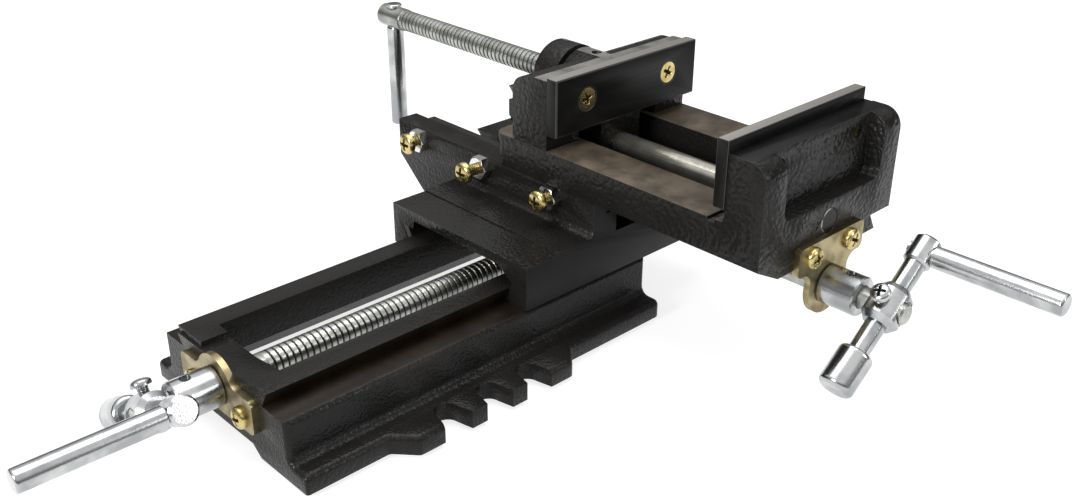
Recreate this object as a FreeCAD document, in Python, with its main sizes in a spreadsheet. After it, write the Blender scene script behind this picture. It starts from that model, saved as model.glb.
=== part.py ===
import FreeCAD, Part
import Sketcher
import math
import os

# A cross slide vise, modelled in millimetres and in the place where each piece stands at rest.
# The origin is the middle of the base's underside, x runs along the base, z is up.
# The base carries a saddle that slides along x, and the saddle carries the vise body, which slides along y.

os.makedirs("parts", exist_ok=True)
doc = FreeCAD.newDocument("CrossSlideVise")

# Sizes
SIZES = [
    # fits
    ("slide_gap", 0.05, "gap of one sliding face over another"),
    ("running_fit", 0.05, "gap all round a shaft that turns in its hole"),
    ("press_fit_gap", 0.02, "gap all round a piece that is fixed in its hole"),
    ("dovetail_run", 0.577, "sideways run of a dovetail flank for one of height"),
    ("gib_across", 4.6, "level width of a gib between two dovetail flanks"),
    # base casting
    ("base_half", 106.0, "middle of the base to its end"),
    ("end_wall", 14.4, "thickness of the end walls"),
    ("sole_outer", 61.2, "half width over the flange"),
    ("sole_inner", 50.3, "half width of the hollow at the sole"),
    ("flange_top", 8.9, "height of the flange"),
    ("wall_half", 49.5, "half width over the side walls"),
    ("shoulder_top", 28.7, "height of the shoulder that the saddle rests on"),
    ("rail_top", 36.6, "height of the rails"),
    ("rail_half", 37.0, "half width over the dovetail at its top"),
    ("window_half", 24.9, "half width of the window between the rails"),
    ("window_low", 20.5, "height where the window starts to widen below"),
    ("knee_half", 44.0, "half width of the hollow at its knee"),
    ("knee_height", 10.0, "height of the knee"),
    ("end_top", 33.9, "height of the end walls between the rails"),
    ("rail_end_in", 1.3, "end of the far rail, from the end face"),
    ("pad_inner", 17.0, "inner edge of the raised pad where the far rail crosses the end wall"),
    ("ramp_low_y", 6.0, "foot of the ramp from the end wall up to the near rail"),
    ("ramp_top_y", 27.5, "top of that ramp"),
    ("arch_foot", 27.0, "half width of the low arch under an end wall, at the sole"),
    ("arch_crown", 21.0, "half width of that arch at its top"),
    ("arch_rise", 4.5, "height of that arch"),
    ("lug_reach", 71.0, "half width over the lugs"),
    ("slot_middle", -11.5, "place of the middle slot along the base"),
    ("slot_pitch", 23.75, "distance from slot to slot"),
    ("slot_half", 5.75, "half width of a slot at its round end"),
    ("slot_end", 62.75, "middle of a slot's round end, from the middle of the base"),
    ("slot_mouth", 7.8, "half width of a slot at its mouth"),
    ("lug_row_half", 44.6, "half length of the row of lugs at its outer edge"),
    ("lug_root_half", 53.5, "half length of the row of lugs at the flange"),
    ("casting_round", 3.0, "round on the outer corners of a casting"),
    ("root_round", 4.0, "round where a wall stands on a plate"),
    ("flange_corner", 1.5, "round on the near corners of the flange, seen from above"),
    ("flange_far_corner", 4.0, "round on the far corners of the flange"),
    ("past", 1.0, "how far a cut runs past the metal it opens"),
    ("sunk", 1.0, "how deep a raised form starts inside the casting it stands on"),
    ("sliver", 0.01, "overlap of two cuts that share a face"),
    ("gib_play", 0.1, "gap behind a gib that its screws take up"),
    # lower leadscrew and what holds it
    ("lower_axis", 24.8, "height of the lower leadscrew"),
    ("thread_radius", 6.0, "outer radius of the leadscrew threads"),
    ("shaft_radius", 5.0, "radius of the plain shafts"),
    ("thrust_radius", 8.5, "radius of the shoulder held behind a bracket"),
    ("thrust_width", 3.5, "width of that shoulder"),
    ("pilot_radius", 4.0, "radius of the lower leadscrew's far journal"),
    ("lower_thread_in", 18.0, "end of the lower thread, from the far end of the base"),
    ("pilot_in", 5.0, "end of the far journal, from the far end of the base"),
    ("bracket_thick", 3.0, "thickness of the bracket plates"),
    ("lower_bracket_half", 29.0, "half width of the lower bracket"),
    ("lower_bracket_low", 13.0, "bottom of the lower bracket"),
    ("lower_bracket_wing", 29.5, "top of the lower bracket's wings"),
    ("bracket_eye", 14.4, "radius of a bracket round its bore"),
    ("bracket_round", 6.0, "round between a bracket's eye and its wings"),
    ("bracket_corner", 3.0, "round on a bracket's corners"),
    ("lower_bracket_screw_y", 19.5, "lower bracket screws, from the middle"),
    ("lower_bracket_screw_z", 18.5, "height of the lower bracket screws"),
    ("collar_radius", 9.25, "radius of the collars"),
    ("lower_collar_out", 23.0, "outer face of the lower collar, from the end of the base"),
    ("lower_crank_out", 32.0, "lower crank, from the end of the base"),
    ("grub_radius", 2.5, "radius of the collars' grub screws"),
    ("grub_sink", 1.0, "how far a grub screw lies below the collar's skin"),
    ("grub_place", 0.64, "place of a grub screw along its collar, as a share of the collar's length"),
    ("rim_chamfer", 0.6, "chamfer on the rims of the collars and of the guide rod"),
    ("shaft_chamfer", 0.8, "chamfer on the ends of the leadscrews"),
    ("lower_crank_angle", 28.0, "tilt of the lower crank arm"),
    ("upper_crank_angle", 37.0, "tilt of the upper crank arm"),
    # crank arms, all measured from the middle of the hub
    ("hub_half", 9.5, "half length of the hub barrel"),
    ("hub_radius", 8.75, "radius of the hub barrel"),
    ("hub_cone", 3.0, "length of the cones on the hub barrel"),
    ("cone_radius", 6.3, "radius at the small end of a cone"),
    ("neck_radius", 4.75, "radius of the arm's necks"),
    ("knob_start", 24.0, "near end of the balance knob"),
    ("knob_end", 44.0, "far end of the balance knob"),
    ("knob_radius", 8.0, "radius of the balance knob"),
    ("knob_round", 2.5, "round on the knob's ends"),
    ("barrel_start", 23.5, "near end of the top barrel"),
    ("barrel_end", 36.5, "far end of the top barrel"),
    ("barrel_radius", 6.25, "radius of the top barrel"),
    ("barrel_chamfer", 1.0, "chamfer on the top barrel's ends"),
    ("grip_offset", 30.0, "grip, from the middle of the hub"),
    ("grip_radius", 5.0, "radius of the grips"),
    ("grip_length", 64.6, "end of the grip, from the arm's middle"),
    ("grip_start", 6.4, "start of the grip's full width"),
    ("grip_pin", 3.5, "radius of the pin in the arm"),
    ("grip_round", 1.2, "round on the grip's end"),
    ("hub_rim", 5.75, "radius of the chamfer round the shaft's hole"),
    ("shaft_past_hub", 7.6, "shaft end past the middle of the hub"),
    ("set_screw_radius", 2.5, "radius of the cranks' set screws"),
    ("set_screw_stand", 11.5, "underside of a set screw's head, from the shaft's middle"),
    ("set_head_radius", 4.5, "radius of the set screws' heads"),
    ("hub_rim_depth", 1.2, "depth of the recess round the shaft's hole"),
    # saddle casting
    ("saddle_start", 24.6, "near end of the saddle along the base"),
    ("saddle_end", 166.0, "far end of the saddle along the base"),
    ("saddle_near", 49.0, "near face of the saddle, from the middle"),
    ("saddle_far", 51.0, "far cheek of the saddle, from the middle"),
    ("plate_low", 46.0, "underside of the saddle's plate"),
    ("plate_top", 50.8, "top of the saddle's plate"),
    ("arch_knee_low", 39.4, "height of the arch's lower corner"),
    ("arch_top_y", 29.0, "arch's upper corner, from the middle"),
    ("gib_roof", 41.3, "height over the lower gib"),
    ("arch_far_y", 35.5, "far end of the high part of the arch"),
    ("ear_x", 67.9, "outer face of the ear by the ledge"),
    ("ear_foot", 83.6, "inner face of that ear's foot"),
    ("far_ear_foot", 150.5, "inner face of the far ear's foot"),
    ("ear_step", 62.2, "top of the ears' feet"),
    ("ear_top", 70.75, "top of the ears"),
    ("channel_far", 102.4, "far end of the upper channel, from the middle"),
    ("gusset_corner_z", 52.4, "bottom of the channel's end face"),
    ("gusset_mid_y", 82.9, "lower corner of a gusset, from the middle"),
    ("gusset_mid_z", 35.2, "height of that corner"),
    ("gusset_foot_y", 77.0, "second corner of a gusset, from the middle"),
    ("gusset_foot_z", 31.0, "height of that corner"),
    ("ledge_step_x", 45.0, "step along the ledge"),
    ("ledge_step", 0.9, "height of that step"),
    ("channel_corner", 2.0, "round on the far corners of the channel"),
    ("gusset_top", 4.0, "top of a gusset above the plate, inside the ears"),
    ("arch_far_run", 1.5, "sideways run of the arch's far shoulder"),
    ("rib_run", 3.0, "sideways run of the rib's flanks"),
    ("thin_floor", 0.8, "metal left over the lower nut's screw holes"),
    ("trough_radius", 7.5, "radius of the trough for the cross leadscrew"),
    ("rib_half", 12.0, "half width of the rib under the trough"),
    ("rib_low", 37.6, "underside of that rib"),
    # vise body
    ("body_middle", 116.0, "middle of the vise body along the base"),
    ("body_half", 49.9, "half width of the vise body"),
    ("body_near", 145.4, "near end of the vise body, from the middle"),
    ("body_far", 20.2, "far end of the vise body"),
    ("flange_low", 70.8, "underside of the body's flange"),
    ("way_top", 87.5, "top of the ways"),
    ("male_low", 62.8, "underside of the body's dovetail"),
    ("male_middle", 118.0, "middle of the body's dovetail along the base"),
    ("male_root", 32.4, "half width of the body's dovetail at its root"),
    ("way_start", 90.8, "near side of the slot between the ways"),
    ("way_end", 139.9, "far side of that slot"),
    ("way_floor", 69.4, "floor of that slot"),
    ("slot_far", 8.0, "far end of that slot"),
    ("body_corner", 7.0, "round on the body's far corners"),
    ("jaw_top", 118.4, "top of the fixed jaw's casting"),
    ("jaw_back_y", 125.2, "back of the fixed jaw plate, from the middle"),
    ("jaw_crown", 9.0, "round over a jaw's back"),
    ("pocket_wall", 137.0, "back wall of the pocket in the fixed jaw"),
    ("pocket_start", 81.0, "near side of that pocket"),
    ("pocket_end", 153.0, "far side of that pocket"),
    ("pocket_low", 89.0, "floor of that pocket"),
    ("pocket_round", 5.0, "round on the pocket's corners"),
    ("relief_y", 118.9, "way relief in front of the fixed jaw plate"),
    ("relief_width", 4.0, "width of that relief"),
    ("relief_depth", 1.5, "depth of that relief"),
    ("rebate_depth", 0.8, "depth of the smooth strip beside the fixed plate"),
    ("rebate_width", 4.5, "width of that strip"),
    ("rebate_low", 2.0, "bottom of that strip above the ways"),
    ("clamp_axis", 106.0, "height of the clamp screw"),
    ("boss_radius", 17.0, "radius of the boss that holds the clamp screw"),
    ("boss_start", 11.5, "inner face of the boss"),
    ("boss_end", 26.3, "outer face of the boss"),
    ("pedestal_half", 15.5, "half width of the boss's pedestal"),
    ("pedestal_drop", 4.0, "top of the pedestal below the clamp screw's axis"),
    ("end_web", 6.0, "thickness of the web that closes the corner under the body's near end"),
    # upper bracket, cross leadscrew
    ("upper_axis", 49.5, "height of the cross leadscrew"),
    ("upper_bracket_half", 24.5, "half width of the upper bracket"),
    ("upper_bracket_top", 73.5, "top of the upper bracket"),
    ("upper_bracket_wing", 59.5, "underside of its wings"),
    ("upper_bracket_screw_x", 14.0, "upper bracket screws, from the leadscrew"),
    ("upper_bracket_screw_z", 67.0, "height of the upper bracket screws"),
    ("cross_end", 14.0, "inner end of the cross leadscrew"),
    ("upper_collar_out", 21.2, "outer face of the upper collar, from the end of the vise body"),
    ("upper_crank_out", 33.4, "upper crank, from the end of the vise body"),
    # gibs and their screws
    ("upper_gib_start", 48.0, "near end of the upper gib"),
    ("upper_gib_end", 92.0, "far end of the upper gib"),
    ("gib_screw_radius", 3.0, "radius of the gib screws"),
    ("gib_nut_across", 11.1, "width of the gib nuts over their flats"),
    ("gib_nut_thick", 5.0, "thickness of the gib nuts"),
    ("gib_head_radius", 5.6, "radius of the gib screws' heads"),
    ("gib_head_thick", 3.6, "thickness of the gib screws' heads"),
    ("upper_gib_screw_z", 64.8, "height of the upper gib screws"),
    ("upper_gib_screw_first", -21.0, "first upper gib screw"),
    ("upper_gib_screw_pitch", 51.0, "distance from one upper gib screw to the next"),
    ("upper_gib_screw_stand", 4.0, "gap between nut and head on the outer screws"),
    ("upper_gib_screw_slack", 7.5, "the same gap on the middle screw"),
    ("lower_gib_screw_z", 35.0, "height of the lower gib screws"),
    ("lower_gib_screw_first", 42.0, "first lower gib screw along the base"),
    ("lower_gib_screw_pitch", 50.0, "distance from one lower gib screw to the next"),
    ("lower_gib_screw_stand", 4.0, "gap between nut and head"),
    ("gib_seat", 1.5, "depth of the seats in the gibs for the screw tips"),
    ("gib_end_gap", 0.3, "how far the lower gib's ends lie inside the saddle"),
    # nuts of the leadscrews
    ("cross_nut_near", 44.0, "near face of the cross nut"),
    ("cross_nut_long", 20.0, "length of the cross nut along its screw"),
    ("cross_nut_half", 17.0, "half width of the cross nut over its ears"),
    ("cross_nut_waist", 9.5, "half width of the cross nut's block"),
    ("cross_nut_ear_top", 55.0, "top of the cross nut's ears"),
    ("cross_nut_top", 58.8, "top of the cross nut"),
    ("cross_nut_screw_x", 13.2, "cross nut screws, from the leadscrew"),
    ("lower_nut_start", 56.0, "near face of the lower nut along the base"),
    ("lower_nut_end", 76.0, "far face of the lower nut"),
    ("lower_nut_half", 11.0, "half width of the lower nut's block"),
    ("lower_nut_flange_half", 20.0, "half width of the lower nut's flange"),
    ("lower_nut_flange_low", 40.5, "underside of that flange"),
    ("lower_nut_low", 15.5, "underside of the lower nut"),
    ("lower_nut_screw_y", 15.5, "lower nut screws, from the middle"),
    ("lower_nut_head_radius", 4.3, "radius of those screws' heads"),
    ("cross_nut_head_radius", 3.6, "radius of the cross nut screws' heads"),
    ("nut_back_gap", 0.1, "gap between the cross nut's round back and its trough"),
    # small screws
    ("pan_screw_radius", 2.5, "radius of the pan head screws"),
    ("pan_head_radius", 5.0, "radius of their heads"),
    ("pan_head_thick", 3.2, "thickness of their heads"),
    ("pan_screw_length", 12.0, "length of the bracket screws"),
    ("nut_screw_length", 8.0, "length of the screws that hold the leadscrew nuts"),
    ("head_round_share", 0.5, "round on a pan head, as a share of its thickness"),
    ("flat_head_radius", 5.4, "radius of the countersunk heads"),
    ("flat_head_rim", 0.3, "height of the straight rim of the countersunk heads"),
    ("flat_screw_radius", 3.0, "radius of the countersunk screws"),
    ("flat_screw_length", 16.0, "length of the countersunk screws"),
    ("flat_head_sink", 0.3, "how far a countersunk head lies below the plate"),
    # jaws
    ("fixed_plate_front", 118.9, "front of the fixed jaw plate"),
    ("fixed_plate_low", 93.0, "underside of the fixed jaw plate"),
    ("plate_high", 124.0, "top of the jaw plates"),
    ("plate_chamfer", 0.5, "chamfer along the jaw plates' edges"),
    ("plate_screw_x", 29.05, "jaw plate screws, from the middle of the jaw"),
    ("plate_screw_z", 111.0, "height of the jaw plate screws"),
    ("moving_front", 18.0, "front of the moving jaw's casting"),
    ("moving_back", 5.7, "back of the moving jaw's casting"),
    ("moving_top", 122.5, "top of the moving jaw's casting"),
    ("moving_plate_front", 24.8, "front of the moving jaw plate"),
    ("moving_plate_low", 95.6, "underside of the moving jaw plate"),
    ("foot_inner", 22.0, "inner side of a jaw's foot, from its outer side"),
    ("hollow_top", 97.0, "top of the hollows between the feet and the tenon"),
    ("tenon_half", 14.0, "half width of the tenon"),
    ("tenon_front", 20.0, "front of the tenon"),
    ("tenon_low", 70.2, "underside of the tenon"),
    ("neck_radius_big", 16.5, "radius of the neck on the moving jaw's back"),
    ("neck_end", 8.5, "back of that neck"),
    ("neck_start", 9.2, "where the neck rises from the jaw's top"),
    ("crown_step", 1.2, "small step down behind the jaw's flat top"),
    ("rod_axis", 79.2, "height of the guide rod"),
    ("rod_radius", 6.0, "radius of the guide rod"),
    ("rod_far", 18.5, "far end of the guide rod"),
    # clamp screw
    ("clamp_tip_radius", 4.5, "radius of the clamp screw's tip"),
    ("clamp_tip_end", 9.5, "end of the tip, inside the moving jaw"),
    ("clamp_thread_start", 9.0, "start of the clamp screw's thread"),
    ("clamp_thread_end", 154.7, "end of the clamp screw's thread"),
    ("clamp_head_end", 175.0, "end of the clamp screw's head"),
    ("clamp_head_radius", 6.5, "radius of that head"),
    ("handle_y", 165.5, "handle, along the clamp screw"),
    ("handle_radius", 5.0, "radius of the handle"),
    ("handle_low", 39.0, "lower end of the handle"),
    ("spigot_radius", 3.5, "radius of the handle's spigot through the head"),
    ("rivet_radius", 4.6, "radius of the handle's rivet end"),
    ("rivet_thick", 1.4, "thickness of the rivet end"),
    ("retainer_radius", 2.5, "radius of the screw that holds the clamp screw's tip"),
    ("retainer_y", 2.0, "that screw, along the clamp screw"),
    ("retainer_low", 2.0, "top of that screw below the neck's skin"),
    ("retainer_gap", 0.3, "gap between that screw's tip and the groove's floor"),
    ("head_chamfer", 1.0, "chamfer on the clamp screw's head"),
    ("rivet_round", 1.0, "round on the handle's rivet end"),
    ("groove_depth", 1.2, "depth of the groove round the clamp screw's tip"),
    ("groove_half", 2.6, "half width of that groove"),
]


class Size:
    """A number that also carries the words of the sheet it comes from, so sums of sizes stay bound."""

    def __init__(self, value, text):
        self.value = float(value)
        self.text = text

    def __add__(self, other):
        other = as_size(other)
        return Size(self.value + other.value, "(" + self.text + " + " + other.text + ")")

    def __sub__(self, other):
        other = as_size(other)
        return Size(self.value - other.value, "(" + self.text + " - " + other.text + ")")

    def __mul__(self, other):
        other = as_size(other)
        return Size(self.value * other.value, "(" + self.text + " * " + other.text + ")")

    def __truediv__(self, other):
        other = as_size(other)
        return Size(self.value / other.value, "(" + self.text + " / " + other.text + ")")

    def __neg__(self):
        return Size(-self.value, "(0 - " + self.text + ")")

    def __float__(self):
        return self.value


def as_size(value):
    """A plain number becomes a size of its own."""
    if isinstance(value, Size):
        return value
    return Size(value, "(" + repr(float(value)) + ")")


def root(value):
    """The square root of a size."""
    return Size(math.sqrt(value.value), "sqrt(" + value.text + ")")


def square(value):
    """A size times itself."""
    return value * value


class SizeNames:
    """Each name in the sheet as a size."""


# The sheet that holds the driving sizes
sheet = doc.addObject("Spreadsheet::Sheet", "Sizes")
s = SizeNames()
for row, (name, number, words) in enumerate(SIZES, start=1):
    sheet.set("A" + str(row), words)
    sheet.set("B" + str(row), str(number))
    sheet.setAlias("B" + str(row), name)
    setattr(s, name, Size(number, "Sizes." + name))
doc.recompute()


# Sketches
class Arc:
    """Stands between two corners of a loop that are joined by an arc round this centre."""

    def __init__(self, across, up, turn=1):
        self.across = as_size(across)
        self.up = as_size(up)
        self.turn = turn


class Circle:
    """A loop that is one full circle."""

    def __init__(self, across, up, radius):
        self.across = as_size(across)
        self.up = as_size(up)
        self.radius = as_size(radius)


PLANES = {"x": "YZ_Plane", "y": "XZ_Plane", "z": "XY_Plane"}
FLAT = FreeCAD.Vector(0, 0, 1)


def bind(thing, place, size):
    """Let the sheet drive one property."""
    thing.setExpression(place, as_size(size).text)


def add_sketch(body, name, axis, height, loops):
    """A sketch square to an axis of the body, at a height along it, with each loop fixed by the sheet."""
    plane = [item for item in body.Origin.OriginFeatures if item.Role == PLANES[axis]][0]
    sketch = body.newObject("Sketcher::SketchObject", name)
    sketch.AttachmentSupport = [(plane, "")]
    sketch.MapMode = "FlatFace"
    if height is not None:
        bind(sketch, "AttachmentOffset.Base.z", height)
    for loop in loops:
        if isinstance(loop, Circle):
            add_circle(sketch, loop)
        else:
            add_loop(sketch, loop)
    sketch.Visibility = False
    return sketch


def fix_point(sketch, geometry, point, across, up, skip=None):
    """Hold one point of a sketch at its place from the origin."""
    rules = []
    if skip != "across":
        rules.append(("DistanceX", across))
    if skip != "up":
        rules.append(("DistanceY", up))
    for kind, size in rules:
        number = sketch.addConstraint(Sketcher.Constraint(kind, -1, 1, geometry, point, size.value))
        bind(sketch, "Constraints[" + str(number) + "]", size)


def add_circle(sketch, loop):
    """A full circle held by its centre and radius."""
    centre = FreeCAD.Vector(loop.across.value, loop.up.value, 0)
    number = sketch.addGeometry(Part.Circle(centre, FLAT, loop.radius.value), False)
    fix_point(sketch, number, 3, loop.across, loop.up)
    rule = sketch.addConstraint(Sketcher.Constraint("Radius", number, loop.radius.value))
    bind(sketch, "Constraints[" + str(rule) + "]", loop.radius)


def add_loop(sketch, loop):
    """A closed loop of lines and arcs through its corners, every corner held by the sheet."""
    corners = []
    joins = []
    for item in loop:
        if isinstance(item, Arc):
            joins[-1] = item
        else:
            corners.append((as_size(item[0]), as_size(item[1])))
            joins.append(None)
    count = len(corners)
    first = sketch.GeometryCount
    starts = []
    ends = []
    for index in range(count):
        here = FreeCAD.Vector(corners[index][0].value, corners[index][1].value, 0)
        there = corners[(index + 1) % count]
        there = FreeCAD.Vector(there[0].value, there[1].value, 0)
        join = joins[index]
        if join is None:
            sketch.addGeometry(Part.LineSegment(here, there), False)
            starts.append(1)
            ends.append(2)
            continue
        centre = FreeCAD.Vector(join.across.value, join.up.value, 0)
        radius = (here - centre).Length
        begin = math.atan2(here.y - centre.y, here.x - centre.x)
        finish = math.atan2(there.y - centre.y, there.x - centre.x)
        if join.turn < 0:
            begin, finish = finish, begin
        if finish <= begin:
            finish = finish + 2 * math.pi
        sketch.addGeometry(Part.ArcOfCircle(Part.Circle(centre, FLAT, radius), begin, finish), False)
        starts.append(1 if join.turn > 0 else 2)
        ends.append(2 if join.turn > 0 else 1)
    for index in range(count):
        after = (index + 1) % count
        rule = Sketcher.Constraint("Coincident", first + index, ends[index], first + after, starts[after])
        sketch.addConstraint(rule)
    for index in range(count):
        across, up = corners[index]
        arc_before = joins[index - 1]
        skip = None
        if arc_before is not None:
            level = abs(across.value - arc_before.across.value)
            upright = abs(up.value - arc_before.up.value)
            skip = "up" if upright >= level else "across"
        fix_point(sketch, first + index, starts[index], across, up, skip)
        if joins[index] is not None:
            fix_point(sketch, first + index, 3, joins[index].across, joins[index].up)


# Features
def add_body(name):
    """A new sub-part."""
    body = doc.addObject("PartDesign::Body", name)
    body.Label = name
    return body


def span(axis, low, high):
    """Where a sketch stands and how far its slab runs, to fill the space from low to high on an axis."""
    low = as_size(low)
    high = as_size(high)
    if axis == "y":
        return -high, high - low
    return low, high - low


def slab(body, name, axis, low, high, *loops):
    """Add a slab that fills its loops from low to high along an axis."""
    height, length = span(axis, low, high)
    sketch = add_sketch(body, name + "_sketch", axis, height, loops)
    pad = body.newObject("PartDesign::Pad", name)
    pad.Profile = sketch
    bind(pad, "Length", length)
    body.Tip = pad
    doc.recompute()
    return pad


def cut(body, name, axis, low, high, *loops):
    """Cut a slab away, and stop if nothing was cut."""
    before = body.Shape.Volume
    height, length = span(axis, low, high)
    sketch = add_sketch(body, name + "_sketch", axis, height, loops)
    pocket = body.newObject("PartDesign::Pocket", name)
    pocket.Profile = sketch
    pocket.Reversed = True
    bind(pocket, "Length", length)
    body.Tip = pocket
    doc.recompute()
    if body.Shape.Volume > before - 0.01:
        raise ValueError(name + " cut nothing away")
    return pocket


def turned(body, name, loop, axis="H_Axis"):
    """Turn a half outline round the sketch's level axis."""
    sketch = add_sketch(body, name + "_sketch", "z", None, [loop])
    turn = body.newObject("PartDesign::Revolution", name)
    turn.Profile = sketch
    turn.ReferenceAxis = (sketch, [axis])
    turn.Angle = 360
    body.Tip = turn
    doc.recompute()
    return turn


def turned_cut(body, name, loop):
    """Cut a turned shape away round the body's x axis, and stop if nothing was cut."""
    before = body.Shape.Volume
    sketch = add_sketch(body, name + "_sketch", "z", None, [loop])
    groove = body.newObject("PartDesign::Groove", name)
    groove.Profile = sketch
    groove.ReferenceAxis = (sketch, ["H_Axis"])
    groove.Angle = 360
    body.Tip = groove
    doc.recompute()
    if body.Shape.Volume > before - 0.01:
        raise ValueError(name + " cut nothing away")
    return groove


def edges_at(shape, along=None, **places):
    """Names of the edges that lie at the given x, y or z, and run along an axis if one is named.
    A place is a size, or a pair of sizes that the edge lies between."""
    found = []
    for number, edge in enumerate(shape.Edges, start=1):
        box = edge.BoundBox
        spans = {
            "x": (box.XMin, box.XMax),
            "y": (box.YMin, box.YMax),
            "z": (box.ZMin, box.ZMax),
        }
        if along is not None:
            if edge.Length - (spans[along][1] - spans[along][0]) > 0.01:
                continue
        good = True
        for axis, place in places.items():
            low, high = spans[axis]
            if isinstance(place, tuple):
                wanted_low, wanted_high = float(place[0]), float(place[1])
            else:
                wanted_low, wanted_high = float(place), float(place)
            if low < wanted_low - 0.02 or high > wanted_high + 0.02:
                good = False
        if good:
            found.append("Edge" + str(number))
    return found


def rim(shape, x, radius):
    """Names of the round edges of a turned piece at a place along its x axis, with this radius."""
    found = []
    for name in edges_at(shape, x=x):
        box = shape.Edges[int(name[4:]) - 1].BoundBox
        if abs(max(box.YMax, box.ZMax) - float(radius)) < 0.05:
            found.append(name)
    return found


def soften(body, name, radius, edges, kind="Fillet"):
    """Round or chamfer the named edges of the body so far."""
    if not edges:
        raise ValueError(name + " found no edges")
    tip = body.Tip
    feature = body.newObject("PartDesign::" + kind, name)
    feature.Base = (tip, sorted(set(edges)))
    bind(feature, "Radius" if kind == "Fillet" else "Size", radius)
    body.Tip = feature
    doc.recompute()
    if feature.Shape.isNull() or not feature.Shape.isValid():
        raise ValueError(name + " has no sound shape")
    return feature


def place(body, x, y, z, outward=(1, 0, 0), upward=(0, 0, 1)):
    """Stand a body in its place, its own x axis along outward and its own z axis towards upward."""
    outward = FreeCAD.Vector(*outward).normalize()
    upward = FreeCAD.Vector(*upward).normalize()
    side = upward.cross(outward)
    turn = FreeCAD.Rotation(outward, side, upward, "XYZ")
    body.Placement = FreeCAD.Placement(FreeCAD.Vector(0, 0, 0), turn)
    bind(body, "Placement.Base.x", x)
    bind(body, "Placement.Base.y", y)
    bind(body, "Placement.Base.z", z)


def group(name, bodies):
    """Several like pieces that share one node."""
    bundle = doc.addObject("Part::Compound", name)
    bundle.Label = name
    bundle.Links = bodies
    return bundle


# Base
def rail_foot():
    """Half width of the rails where they stand on the shoulder."""
    return s.rail_half - (s.rail_top - s.shoulder_top) * s.dovetail_run


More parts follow.
